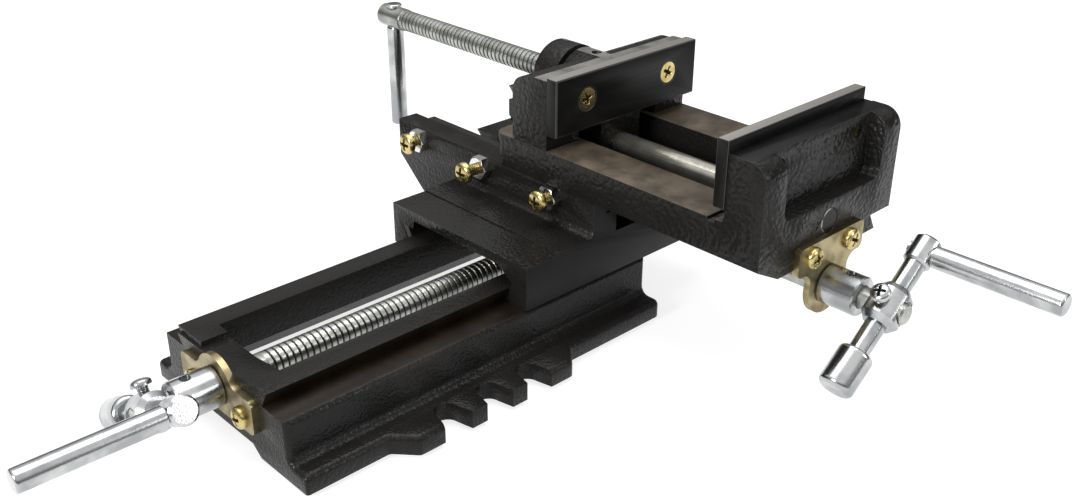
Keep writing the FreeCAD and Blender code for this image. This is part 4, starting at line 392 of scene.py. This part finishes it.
def cutter_marks(tree, place, stretch):
    """The machining marks' outputs, for one direction."""
    marks = add_node(tree, "Group", {"Place": place["Object"], "Stretch": stretch}, node_tree=marks_group)
    return marks.outputs


def enamel(name, faces, lump=0.00042, lumps=430.0, stretch=ALONG_Y, shine=ENAMEL_SHINE, matt=0.42,
           fresh=ENAMEL, worn_off=ENAMEL_WORN):
    """Black enamel over cast iron, with lumps of a height and a number per metre. On a machined face the
    lumps give way to cutter marks: height = lumps x (1 - mask) + marks x mask."""
    material, tree, output = new_material(name)
    place = add_node(tree, "TexCoord").outputs
    casting = add_node(tree, "Group", {"Place": place["Object"], "Lumps per metre": lumps},
                       node_tree=casting_group).outputs
    colour = mix_colour(tree, casting["Patch"], fresh, worn_off)
    rough = mix_value(tree, casting["Patch"], GLOSSY, matt)
    height = casting["Height"]
    metal = bare = 0.0
    if faces:
        marks = cutter_marks(tree, place, stretch)
        for face in faces:
            mask = face_mask(tree, place, face)
            worn = mix_colour(tree, marks["Shade"], dimmed(face.colour, BLOTCH_SHARE), face.colour)
            colour = mix_colour(tree, mask, colour, worn)
            rough = mix_value(tree, mask, rough, face.rough)
            bare = math_node(tree, "MAXIMUM", bare, mask)
            if face.metal:
                metal = mix_value(tree, mask, metal, face.metal)
        cast_height = math_node(tree, "MULTIPLY", height, math_node(tree, "SUBTRACT", 1.0, bare))
        mark_height = math_node(tree, "MULTIPLY", marks["Height"], MARK_SHARE)
        height = math_node(tree, "ADD", cast_height, math_node(tree, "MULTIPLY", mark_height, bare))
    bump = add_node(tree, "Bump", {"Height": height, "Distance": lump, "Strength": 1.0})
    shader = add_node(tree, "BsdfPrincipled", {
        "Base Color": colour, "Roughness": rough, "Metallic": metal, "Specular IOR Level": shine,
        "Normal": bump.outputs[0],
    })
    feed(tree, shader.outputs[0], output.inputs["Surface"])
    return material


print("a machined face has", Face._fields)

# %% [markdown]
# The levels are the heights at which each casting was cut. The base's shoulders and dovetail flanks are
# brown with old oil, the body's ways are bare iron with a little rust, and the moving jaw's top is ground
# to light steel. Edges get their own glossier enamel with lighter grey patches: partly grey iron where
# paint wears first, partly painted highlight along the edges.

# %% The castings' enamels
UP = (0.0, 0.0, 1.0)
NEARWARDS = (0.0, -1.0, 0.0)
NEAR_FLANK = (0.0, -0.866, -0.5)
FAR_FLANK = (0.0, 0.866, -0.5)
SHOULDER_TOP = 0.0287
FLANK_LEVEL = 0.0138
FLANK_REACH = 0.0012
EAR_TOP = 0.07075
SADDLE_NEAR = 0.049
WAY_TOP = 0.0875
FIXED_JAW_TOP = 0.1184
MOVING_JAW_TOP = 0.1225
OILY_BLACK = (0.0042, 0.0040, 0.0038, 1)
BROWN = (0.016, 0.011, 0.007, 1)
RUSTY = (0.135, 0.108, 0.080, 1)
SOOT = (0.014, 0.012, 0.011, 1)
WORN_STEEL = (0.23, 0.22, 0.205, 1)
# Edge enamel: its lighter grey patches are partly worn paint and partly painted highlight along the edges.
EDGE_FRESH = (0.006, 0.006, 0.006, 1)
EDGE_WEAR_AND_HIGHLIGHT = (0.080, 0.075, 0.068, 1)

base_enamel = enamel("base_enamel", [
    Face(UP, SHOULDER_TOP, BROWN, 0.40),
    Face(NEAR_FLANK, FLANK_LEVEL, BROWN, 0.45, reach=FLANK_REACH),
    Face(FAR_FLANK, FLANK_LEVEL, BROWN, 0.45, reach=FLANK_REACH),
], lump=0.00022, lumps=800.0)
saddle_enamel = enamel("saddle_enamel", [
    Face(UP, EAR_TOP, SOOT, 0.34),
    Face(NEARWARDS, SADDLE_NEAR, OILY_BLACK, 0.36),
], lump=0.00028, lumps=620.0)
body_enamel = enamel("body_enamel", [
    Face(UP, WAY_TOP, RUSTY, 0.38, metal=0.35),
    Face(UP, FIXED_JAW_TOP, OILY_BLACK, 0.34),
], stretch=ALONG_X)
jaw_enamel = enamel("jaw_enamel", [Face(UP, MOVING_JAW_TOP, WORN_STEEL, 0.42, metal=0.3)])
edge_enamel = enamel("edge_enamel", [], lump=0.00015, lumps=800.0, shine=0.9, matt=0.30,
                     fresh=EDGE_FRESH, worn_off=EDGE_WEAR_AND_HIGHLIGHT)
print("enamels:", [material.name for material in bpy.data.materials if "enamel" in material.name])

# %% [markdown]
# ## Plated steel
# Screws, cranks, collars and brackets are steel with a thin coat of zinc: bright on the shafts and nuts,
# yellow on the screws, olive on the brackets. Zinc is a soft mirror whose tint drifts, so two colours
# are blended by a noise. Thread grooves and screw recesses are painted dark: partly old oil, partly
# painted shade. A mask from the surface's shape would be noisy there, so those pieces carry it as an
# attribute called "sunk".

# %% Plated metals
# Grooves and recesses get a dark colour: painted shade, with some old oil in it.
GROOVE_SHADE_AND_OIL = (0.040, 0.036, 0.028, 1)
SUNK_ROUGHNESS = 0.55
DRIFT_FROM = 0.34
DRIFT_TO = 0.66
DRIFT_GLOSS = -0.06
FINE_SCALE = 900.0


def plated(name, colour, second, roughness, patch_scale):
    """Plated steel: a metal whose colour drifts between two tints, with a fine unevenness. Where the piece's
    own attribute "sunk" rises to 1, in grooves and recesses, a dark colour takes over: painted shade, with old
    oil."""
    material, tree, output = new_material(name)
    place = add_node(tree, "TexCoord").outputs["Object"]
    tint = add_node(tree, "TexNoise", {"Vector": place, "Scale": patch_scale, "Detail": 3.0})
    drift = add_node(tree, "MapRange", {
        "Value": tint.outputs["Fac"], "From Min": DRIFT_FROM, "From Max": DRIFT_TO,
    }, interpolation_type="SMOOTHSTEP").outputs[0]
    # "sunk" carries the painted shade and oil into the grooves and recesses.
    sunk = add_node(tree, "Attribute", attribute_name="sunk").outputs["Fac"]
    clean = mix_colour(tree, drift, colour, second)
    uneven = math_node(tree, "MULTIPLY_ADD", drift, DRIFT_GLOSS, roughness + 0.03)
    fine = add_node(tree, "TexNoise", {"Vector": place, "Scale": FINE_SCALE, "Detail": 2.0})
    bump = add_node(tree, "Bump", {"Height": fine.outputs["Fac"], "Distance": 0.0002, "Strength": 0.12})
    shader = add_node(tree, "BsdfPrincipled", {
        "Base Color": mix_colour(tree, sunk, clean, GROOVE_SHADE_AND_OIL),
        "Roughness": mix_value(tree, sunk, uneven, SUNK_ROUGHNESS),
        "Metallic": 1.0, "Normal": bump.outputs[0],
    })
    feed(tree, shader.outputs[0], output.inputs["Surface"])
    return material


bright_zinc = plated("bright_zinc", (0.33, 0.34, 0.35, 1), (0.54, 0.55, 0.55, 1), 0.22, 70.0)
thread_zinc = plated("thread_zinc", (0.30, 0.31, 0.29, 1), (0.46, 0.47, 0.44, 1), 0.34, 120.0)
# The nuts' zinc is a lighter copy of the bright zinc: partly their brighter plating, partly painted light that
# keeps them bright where they sit in shade.
lit_nut_zinc = plated("lit_nut_zinc", (0.66, 0.66, 0.64, 1), (0.84, 0.84, 0.80, 1), 0.22, 150.0)
yellow_zinc = plated("yellow_zinc", (0.40, 0.31, 0.11, 1), (0.66, 0.54, 0.25, 1), 0.25, 130.0)
bracket_zinc = plated("bracket_zinc", (0.17, 0.135, 0.06, 1), (0.38, 0.32, 0.18, 1), 0.33, 90.0)
dark_steel = plated("dark_steel", (0.05, 0.05, 0.055, 1), (0.09, 0.09, 0.09, 1), 0.34, 120.0)
bronze = plated("bronze", (0.42, 0.28, 0.13, 1), (0.55, 0.40, 0.20, 1), 0.36, 80.0)
# The dark colour in grooves and recesses is painted shade, with old oil.
print("plated and bare metals mixed, dirt colour", GROOVE_SHADE_AND_OIL[:3])

# %% [markdown]
# ## Ground steel
# The jaw plates are blackened steel, ground bright again on their top edges. The guide rod is ground
# round and painted over at the end that shows through the casting. The gibs are plain ground strips,
# dark with oil. All of them share one recipe with straight marks and, where needed, one other face.

# %% Ground metals
ROD_END = 0.1454
BLACKENED = (0.0075, 0.0072, 0.0070, 1)
GROUND_REACH = 0.0005


def ground(name, colour, roughness, stretch, metal=0.9, other_face=None, shine=0.5):
    """Steel with straight grinding marks, and another finish on one other face if it is given."""
    material, tree, output = new_material(name)
    place = add_node(tree, "TexCoord").outputs
    marks = cutter_marks(tree, place, stretch)
    steel = mix_colour(tree, marks["Shade"], dimmed(colour, 0.72), colour)
    if other_face:
        mask = face_mask(tree, place, other_face)
        steel = mix_colour(tree, mask, steel, other_face.colour)
        metal = mix_value(tree, mask, metal, other_face.metal)
        roughness = mix_value(tree, mask, roughness, other_face.rough)
    bump = add_node(tree, "Bump", {"Height": marks["Height"], "Distance": 0.00008, "Strength": 0.25})
    shader = add_node(tree, "BsdfPrincipled", {
        "Base Color": steel, "Roughness": roughness, "Metallic": metal, "Specular IOR Level": shine,
        "Normal": bump.outputs[0],
    })
    feed(tree, shader.outputs[0], output.inputs["Surface"])
    return material


moving_plate_steel, fixed_plate_steel = (
    ground(name, BLACKENED, 0.34, ALONG_Z, metal=0.0, shine=ENAMEL_SHINE,
           other_face=Face(UP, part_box(node)[1].z, WORN_STEEL, 0.42, metal=0.3, reach=GROUND_REACH))
    for name, node in (("moving_plate_steel", "moving_jaw_plate"), ("fixed_plate_steel", "fixed_jaw_plate")))
plate_edge = ground("plate_edge", (0.040, 0.038, 0.035, 1), 0.40, ALONG_Z, metal=0.3)
gib_steel = ground("gib_steel", (0.050, 0.047, 0.043, 1), 0.42, ALONG_Y)
rod_steel = ground("rod_steel", (0.52, 0.50, 0.44, 1), 0.20, ALONG_Y, shine=ENAMEL_SHINE,
                   other_face=Face(NEARWARDS, ROD_END, ENAMEL, 0.3, reach=GROUND_REACH))
print("materials:", len(bpy.data.materials))

# %% [markdown]
# ## Softened castings
# A sand casting has no sharp edge, and a ground plate has a fine one. Rounding them in the solids would
# make those heavy, so the rounding is done here: the solid's triangles are copied and merged into plain
# faces, and a narrow bevel goes round every corner. The bevel's own faces take the edge finish, so the
# lighter edge patches, partly worn paint and partly painted highlight, follow the edges by themselves.

# %% Dressed castings
MERGE = 2e-6
FLAT_ANGLE = math.radians(0.5)
CORNER_ANGLE = math.radians(32)


def coat(node, material):
    """Give a solid a finish and leave its shape alone."""
    mesh = nodes[node].data
    mesh.materials.clear()
    mesh.materials.append(material)


def smooth(mesh):
    """Shade every face smoothly."""
    mesh.polygons.foreach_set("use_smooth", [True] * len(mesh.polygons))
    mesh.update()


def dressed(node, body, material, edge, width):
    """A merged copy of a solid with bevelled corners in a finish of their own, which stands for it."""
    mesh = bpy.data.meshes.new(node + "_dressed")
    shape = bmesh.new()
    shape.from_mesh(nodes[node].data)
    bmesh.ops.remove_doubles(shape, verts=shape.verts, dist=MERGE)
    bmesh.ops.dissolve_limit(shape, angle_limit=FLAT_ANGLE, verts=shape.verts, edges=shape.edges)
    shape.to_mesh(mesh)
    shape.free()
    mesh.materials.append(material)
    mesh.materials.append(edge)
    smooth(mesh)
    thing = add_object(node + "_dressed", mesh)
    bevel = thing.modifiers.new("bevel", "BEVEL")
    bevel.width = width
    bevel.segments = 2
    bevel.limit_method = "ANGLE"
    bevel.angle_limit = CORNER_ANGLE
    bevel.harden_normals = True
    bevel.material = 1
    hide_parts(node)
    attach(thing, body)
    print(node, "dressed,", len(mesh.polygons), "faces")


for node, body, material, edge, width in (
    ("base_casting", "base", base_enamel, edge_enamel, 0.0008),
    ("saddle_casting", "saddle", saddle_enamel, edge_enamel, 0.0007),
    ("vise_body", "vise", body_enamel, edge_enamel, 0.0008),
    ("moving_jaw", "jaw", jaw_enamel, edge_enamel, 0.0008),
    ("fixed_jaw_plate", "vise", fixed_plate_steel, plate_edge, 0.0003),
    ("moving_jaw_plate", "jaw", moving_plate_steel, plate_edge, 0.0003),
):
    coat(node, material)
    dressed(node, body, material, edge, width)

# %% [markdown]
# ## Pieces that keep their solid
# Brackets, collars, cranks, nuts and gibs already have their real shape, holes and chamfers in the
# solids. They need no new mesh, so each one only takes its finish.

# %% Coated pieces
for material, coated in (
    (bracket_zinc, ("lower_bracket", "upper_bracket")),
    (bright_zinc, ("lower_collar", "upper_collar", "lower_crank_arm", "upper_crank_arm", "lower_crank_grip",
                   "upper_crank_grip", "clamp_handle")),
    (lit_nut_zinc, ("upper_gib_nuts", "lower_gib_nuts")),
    (dark_steel, ("lower_collar_grub_screw", "upper_collar_grub_screw", "jaw_retaining_screw")),
    (bronze, ("cross_nut", "lower_nut")),
    (gib_steel, ("lower_gib", "upper_gib")),
    (rod_steel, ("guide_rod",)),
):
    for node in coated:
        coat(node, material)
    print(material.name, "on", ", ".join(coated))

# %% [markdown]
# ## Surfaces from arrays
# A screw is a surface of two parameters: how far along, and how far round. Worked out as whole arrays, it
# needs no loop over points, and its columns close into a ring. Modelling a thread by hand with a screw
# modifier would also work, but then its depth couldn't fade out at the ends.

# %% Surfaces from arrays
SCREW_CREASE = 35
HEAD_CREASE = 40


def grid_mesh(name, grids, material):
    """A mesh from arrays of rows by columns by 4, whose columns wrap round. The fourth value of a point
    says how far it is sunk in a groove or recess, from 0 to 1, and goes into the attribute "sunk"."""
    quads = []
    first = 0
    for grid in grids:
        rows, columns = grid.shape[:2]
        index = first + np.arange(rows * columns).reshape(rows, columns)
        right = np.roll(index, -1, axis=1)
        quads.append(np.stack([index[:-1], right[:-1], right[1:], index[1:]], axis=-1).reshape(-1, 4))
        first += rows * columns
    points = np.concatenate([grid.reshape(-1, 4) for grid in grids])
    mesh = bpy.data.meshes.new(name)
    mesh.from_pydata(points[:, :3].tolist(), [], np.concatenate(quads).tolist())
    mesh.materials.append(material)
    mesh.attributes.new("sunk", "FLOAT", "POINT").data.foreach_set("value", points[:, 3].astype(np.float32))
    smooth(mesh)
    return mesh


def stand(local, origin, outward, upward):
    """Points given along outward (x), sideways (y) and upward (z), put at their origin."""
    outward = np.array(Vector(outward).normalized())
    upward = np.array(Vector(upward).normalized())
    basis = np.stack([outward, np.cross(upward, outward), upward])
    placed = np.asarray(origin) + local[..., :3] @ basis
    return np.concatenate([placed, local[..., 3:]], axis=-1)


def stand_for(name, node, body, grids, material, crease):
    """One piece made of grids, creased where faces meet at more than an angle, which stands for its solid."""
    coat(node, material)
    mesh = grid_mesh(name, grids, material)
    thing = add_object(name, mesh)
    mesh.set_sharp_from_angle(angle=math.radians(crease))
    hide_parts(node)
    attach(thing, body)
    print(name, len(mesh.polygons), "faces")


def around(columns):
    """Angles round a full turn, as one row."""
    return np.linspace(0, 2 * np.pi, columns, endpoint=False)[None, :]


print("creases above", SCREW_CREASE, "and", HEAD_CREASE, "degrees")

# %% [markdown]
# ## The three long screws
# Two leadscrews and the clamp screw have eight threads to the inch, with wide worn crests. Each is a
# turned outline whose radius also depends on the angle: at each place along the screw the thread's
# profile is read a little further on as the angle grows, one pitch in a full turn. That is the helix.

# %% Thread surface
PITCH = 0.003175
THREAD_DEPTH = 0.0009
THREAD_FADE = 0.6
STEPS_PER_PITCH = 20
SCREW_COLUMNS = 64
POINT = 1e-5
SAME = 1e-9


def thread_depth(phase, flat=0.14, slope=0.20):
    """How far a thread is below its crest, from 0 on the crest to 1 in the root, with straight flanks
    between. Phase runs from 0 to 1 over one pitch."""
    away = np.abs((phase % 1.0) - 0.5) * 2
    return np.clip((1 - away - (1 - flat - slope)) / slope, 0, 1)


def screw_surface(stations, thread):
    """A turned outline of (place, radius) stations, with a thread between two places.
    Radius = outline(x) - depth x thread_depth(x / pitch - angle / full turn), faded at both thread ends."""
    places = []
    radii = []
    for (x0, r0), (x1, r1) in zip(stations[:-1], stations[1:]):
        threaded = thread[0] - SAME <= x0 < x1 <= thread[1] + SAME
        count = max(2, int(round((x1 - x0) / PITCH * STEPS_PER_PITCH))) if threaded else 2
        places.append(np.linspace(x0, x1, count))
        radii.append(np.linspace(r0, r1, count))
    x = np.concatenate(places)[:, None]
    angle = around(SCREW_COLUMNS)
    fade = np.clip(np.minimum(x - thread[0], thread[1] - x) / (THREAD_FADE * PITCH), 0, 1)
    sunk = thread_depth(x / PITCH - angle / (2 * np.pi)) * fade
    radius = np.concatenate(radii)[:, None] - sunk * THREAD_DEPTH
    return np.stack([x + 0 * angle, radius * np.cos(angle), radius * np.sin(angle), sunk], axis=-1)


print("thread", PITCH * 1000, "mm pitch,", THREAD_DEPTH * 1000, "mm deep")

# %% [markdown]
# The outlines are read from the far end of the crank inwards: a chamfered shaft, the shoulder that takes
# the thrust against the bracket, and the thread. The clamp screw starts with the grooved tip that is held
# in the moving jaw and ends in the head for its handle.

# %% The three long screws
THREAD_RADIUS = 0.0060
SHAFT_RADIUS = 0.0050
SHOULDER_RADIUS = 0.0085
PILOT_RADIUS = 0.0040
SHOULDER_THICK = 0.0035
CHAMFER = 0.0008
THREAD_MARGIN = 0.0002
BODY_MIDDLE = 0.116
LOWER_AXIS = 0.0248
UPPER_AXIS = 0.0495
CLAMP_AXIS = 0.106


def crank_end(tip, shoulder):
    """The stations of a leadscrew's outer end: chamfer, shaft, shoulder and the start of the full radius."""
    inner = shoulder + SHOULDER_THICK
    return [(tip, POINT), (tip, SHAFT_RADIUS - CHAMFER), (tip + CHAMFER, SHAFT_RADIUS),
            (shoulder, SHAFT_RADIUS), (shoulder, SHOULDER_RADIUS), (inner, SHOULDER_RADIUS),
            (inner, THREAD_RADIUS)]


lower_plain, lower_start, lower_end, lower_tip = -0.0900, -0.0860, 0.0880, 0.1010
lower_outline = crank_end(tip=-0.1456, shoulder=-0.1060) + [
    (lower_plain, THREAD_RADIUS), (lower_start, THREAD_RADIUS), (lower_end, THREAD_RADIUS),
    (lower_end, PILOT_RADIUS), (lower_tip, PILOT_RADIUS), (lower_tip, POINT)]
cross_start, cross_end = -0.1280, -0.0148
cross_outline = crank_end(tip=-0.1884, shoulder=-0.1454) + [
    (cross_start, THREAD_RADIUS), (cross_end, THREAD_RADIUS), (cross_end + CHAMFER, THREAD_RADIUS - CHAMFER),
    (cross_end + CHAMFER, POINT)]
TIP_RADIUS, WAIST_RADIUS, HEAD_RADIUS = 0.0045, 0.0033, 0.0065
clamp_start, clamp_end, clamp_top = 0.0090, 0.1547, 0.1750
clamp_outline = [
    (-0.0095, POINT), (-0.0095, TIP_RADIUS), (-0.0046, TIP_RADIUS), (-0.0046, WAIST_RADIUS),
    (0.0006, WAIST_RADIUS), (0.0006, TIP_RADIUS), (clamp_start, TIP_RADIUS), (clamp_start, THREAD_RADIUS),
    (clamp_end, THREAD_RADIUS), (clamp_end, HEAD_RADIUS), (clamp_top - 0.001, HEAD_RADIUS),
    (clamp_top, HEAD_RADIUS - 0.001), (clamp_top, POINT)]
for node, body, outline, ends, origin, outward in (
    ("lower_leadscrew", "lower_screw", lower_outline, (lower_start, lower_end), (0, 0, LOWER_AXIS), (1, 0, 0)),
    ("cross_leadscrew", "cross_screw", cross_outline, (cross_start, cross_end), (BODY_MIDDLE, 0, UPPER_AXIS),
     (0, 1, 0)),
    ("clamp_screw", "clamp", clamp_outline, (clamp_start, clamp_end), (BODY_MIDDLE, 0, CLAMP_AXIS), (0, 1, 0)),
):
    local = screw_surface(outline, (ends[0] - THREAD_MARGIN, ends[1] + THREAD_MARGIN))
    stand_for(node + "_thread", node, body, [stand(local, origin, outward, UP)], thread_zinc, SCREW_CREASE)

# %% [markdown]
# ## Cross-slotted heads
# A pan head is a low dome with a cross pressed into it. Cutting the cross with a boolean would leave thin
# triangles, so the top is a height over a round grid instead: the dome's height falls with the radius, and
# wherever the point lies in one of the two slots the height drops, deepest in the middle.

# %% Screw heads
HEAD_COLUMNS = 72
HEAD_RINGS = 26
RIM_RINGS = 8
DOME_POWER = 2.6
CROSS_HALF = 0.15
CROSS_LONG = 0.62
CROSS_WALL = 0.05
FINE_PITCH = 0.00127
FINE_DEPTH = 0.0005


def head_surface(radius, thick, dome, recess):
    """A head on the x axis: x = dome(r) - recess depth where |y| or |z| is within the slot's half width. The
    fourth value is 1 inside the recess."""
    shares = np.concatenate([np.linspace(0.02, 0.68, HEAD_RINGS), np.linspace(0.72, 1.0, RIM_RINGS)])
    r = (shares * radius)[:, None]
    angle = around(HEAD_COLUMNS)
    y = r * np.cos(angle)
    z = r * np.sin(angle)
    height = thick - dome + dome * np.sqrt(np.clip(1 - (r / radius) ** DOME_POWER, 0, 1)) + 0 * y
    half, long, edge = CROSS_HALF * radius, CROSS_LONG * radius, CROSS_WALL * radius

    def bar(across, along):
        """1 inside a slot, 0 outside, with a steep wall between."""
        return np.clip((half - np.abs(across)) / edge, 0, 1) * np.clip((long - np.abs(along)) / edge, 0, 1)

    sunk = np.maximum(bar(y, z), bar(z, y))
    deep = recess * np.clip(1.25 - np.hypot(y, z) / long, 0.35, 1)
    return np.stack([height - sunk * deep, y, z, sunk], axis=-1)


def whole_screw(top, x, r, groove):
    """Join a head's surface and the rows (x, r) below it into one closed grid, tip first."""
    angle = around(HEAD_COLUMNS)
    below = np.stack([x + 0 * angle, r * np.cos(angle), r * np.sin(angle), groove + 0 * x * angle], axis=-1)
    floor_x = np.full((1, HEAD_COLUMNS), top[0, :, 0].min())
    centre = np.stack([floor_x, POINT * np.cos(angle), POINT * np.sin(angle), np.ones_like(floor_x)], axis=-1)
    return np.concatenate([centre, top, below])[::-1]


def pan_screw(radius, thick, shank, length, threaded=(0.0, 0.0), pitch=FINE_PITCH):
    """A whole pan head screw: head, rim, underside and shank, with a thread between two places if given."""
    start, end = threaded
    steps = int(abs(end - start) / pitch * 10)
    x = np.concatenate([[0.0, 0.0], np.linspace(start, end, steps), [-length, -length]])[:, None]
    outline = np.full(x.shape, shank)
    outline[0] = radius
    outline[-1] = POINT
    fade = np.clip(np.minimum(start - x, x - end) / pitch, 0, 1)
    groove = thread_depth(x / pitch - around(HEAD_COLUMNS) / (2 * np.pi), flat=0.2, slope=0.4) * fade
    top = head_surface(radius, thick, thick * 0.62, 0.72 * thick)
    return whole_screw(top, x, outline - FINE_DEPTH * groove, 0.7 * groove)


TURNS = (0.3, 1.1, 0.7)


def screw_row(name, node, body, screws, places, outward, upward, material, turns=TURNS):
    """Screws as one piece that stands for its node, each turned by its own angle about its axis."""
    grids = []
    for screw, place, turn in zip(screws, places, turns):
        spun = screw.copy()
        spun[..., 1] = screw[..., 1] * math.cos(turn) - screw[..., 2] * math.sin(turn)
        spun[..., 2] = screw[..., 1] * math.sin(turn) + screw[..., 2] * math.cos(turn)
        grids.append(stand(spun, place, outward, upward))
    stand_for(name, node, body, grids, material, HEAD_CREASE)


print("heads of", HEAD_COLUMNS, "columns")

# %% [markdown]
# Each bearing bracket is held by two pan head screws. Nobody lines the crosses up when tightening them, so
# each one is turned by its own angle.

# %% Bracket screws
BRACKET_FACE = 0.109
LOWER_SCREW_Y, LOWER_SCREW_Z = 0.0195, 0.0185
UPPER_SCREW_X, UPPER_SCREW_Z = 0.014, 0.067
UPPER_BRACKET_FACE = 0.1484

bracket_screw = pan_screw(radius=0.0050, thick=0.0032, shank=0.0025, length=0.012)
screw_row("lower_bracket_screw_heads", "lower_bracket_screws", "base", [bracket_screw] * 2,
          [(-BRACKET_FACE, y, LOWER_SCREW_Z) for y in (-LOWER_SCREW_Y, LOWER_SCREW_Y)],
          (-1, 0, 0), UP, yellow_zinc)
screw_row("upper_bracket_screw_heads", "upper_bracket_screws", "vise", [bracket_screw] * 2,
          [(BODY_MIDDLE + x, -UPPER_BRACKET_FACE, UPPER_SCREW_Z) for x in (-UPPER_SCREW_X, UPPER_SCREW_X)],
          NEARWARDS, UP, yellow_zinc)

# %% [markdown]
# The gib screws press the gib strips against the dovetails. On the upper slide they stand out of the
# saddle's side by different amounts, with their threads in view between the head and the lock nut.

# %% Gib screws
GIB_SCREW_Y = (-0.021, 0.030, 0.081)
GIB_SCREW_Z = 0.0648
EAR_FACE = 0.0679
LOCK_NUT = 0.005
GAPS = (0.004, 0.0075, 0.004)
GIB_BACK = 0.08
THREAD_FROM = -0.0004
gib_head = {"radius": 0.0056, "thick": 0.0036, "shank": 0.003}

upper_heads = [(EAR_FACE - LOCK_NUT - gap, y, GIB_SCREW_Z) for y, gap in zip(GIB_SCREW_Y, GAPS)]
upper_gib_screws = [
    pan_screw(length=GIB_BACK - head[0], threaded=(THREAD_FROM, -gap - 0.0052), **gib_head)
    for head, gap in zip(upper_heads, GAPS)]
screw_row("upper_gib_screw_threads", "upper_gib_screws", "saddle", upper_gib_screws, upper_heads,
          (-1, 0, 0), UP, yellow_zinc, turns=(0, 0, 0))
lower_gib_screw = pan_screw(length=0.021, threaded=(THREAD_FROM, -0.0092), **gib_head)
screw_row("lower_gib_screw_threads", "lower_gib_screws", "saddle", [lower_gib_screw] * 3,
          [(x, 0.060, 0.035) for x in (0.042, 0.092, 0.142)], (0, 1, 0), UP, yellow_zinc)

# %% [markdown]
# Each leadscrew's bronze nut hangs in the saddle on two screws with bright zinc. The saddle hides them
# unless the slides stand at a limit, so they are plain below the head.

# %% Nut screws
FARWARDS = (0, 1, 0)
nut_screw = {"thick": 0.0032, "shank": 0.0025, "length": 0.008}
screw_row("lower_nut_screw_heads", "lower_nut_screws", "saddle", [pan_screw(radius=0.0043, **nut_screw)] * 2,
          [(0.066, y, 0.0405) for y in (-0.0155, 0.0155)], (0, 0, -1), FARWARDS, bright_zinc)
screw_row("cross_nut_screw_heads", "cross_nut_screws", "saddle", [pan_screw(radius=0.0036, **nut_screw)] * 2,
          [(BODY_MIDDLE + x, -0.034, 0.055) for x in (-0.0132, 0.0132)], UP, FARWARDS, bright_zinc)

# %% [markdown]
# The cranks' set screws stand square to the arm, which leans by a different angle on each crank.

# %% Set screws of the cranks
LOWER_LEAN = math.radians(28)
UPPER_LEAN = math.radians(37)
HUB_TO_HEAD = 0.0115

set_screw = pan_screw(radius=0.0045, thick=0.0032, shank=0.0025, length=0.0065,
                      threaded=(THREAD_FROM, -0.0058), pitch=0.0008)
lower_way = (0.0, math.sin(LOWER_LEAN), math.cos(LOWER_LEAN))
upper_way = (-math.sin(UPPER_LEAN), 0.0, math.cos(UPPER_LEAN))
for name, node, body, hub, way, side in (
    ("lower_set_screw", "lower_crank_set_screw", "lower_screw", (-0.138, 0, LOWER_AXIS), lower_way, (-1, 0, 0)),
    ("upper_set_screw", "upper_crank_set_screw", "cross_screw", (BODY_MIDDLE, -0.1788, UPPER_AXIS), upper_way,
     NEARWARDS),
):
    place = Vector(hub) + Vector(way) * HUB_TO_HEAD
    screw_row(name, node, body, [set_screw], [tuple(place)], way, side, bright_zinc)

# %% [markdown]
# The jaw plates' screws are countersunk, so that nothing stands in the way of the work: a flat top with
# the same cross, and a cone below it.

# %% Countersunk screws
PLATE_SCREW_X = 0.02905
PLATE_SCREW_Z = 0.111
COUNTERSUNK_RIM = 0.0003


def flat_screw(radius, shank, length, recess):
    """A countersunk screw with its top at x = 0: a flat head, a cone and a plain shank."""
    x = np.array([-COUNTERSUNK_RIM, -COUNTERSUNK_RIM - radius + shank, -length, -length])[:, None]
    r = np.array([radius, shank, shank, POINT])[:, None]
    return whole_screw(head_surface(radius, 0.0, 0.0, recess), x, r, 0.0)


plate_screw = flat_screw(radius=0.0054, shank=0.003, length=0.016, recess=0.0022)
for name, body, y, outward in (
    ("fixed", "vise", -0.1192, FARWARDS),
    ("moving", "jaw", -0.0245, NEARWARDS),
):
    screw_row(name + "_plate_screw_heads", name + "_jaw_plate_screws", body, [plate_screw] * 2,
              [(BODY_MIDDLE + x, y, PLATE_SCREW_Z) for x in (-PLATE_SCREW_X, PLATE_SCREW_X)],
              outward, UP, yellow_zinc)
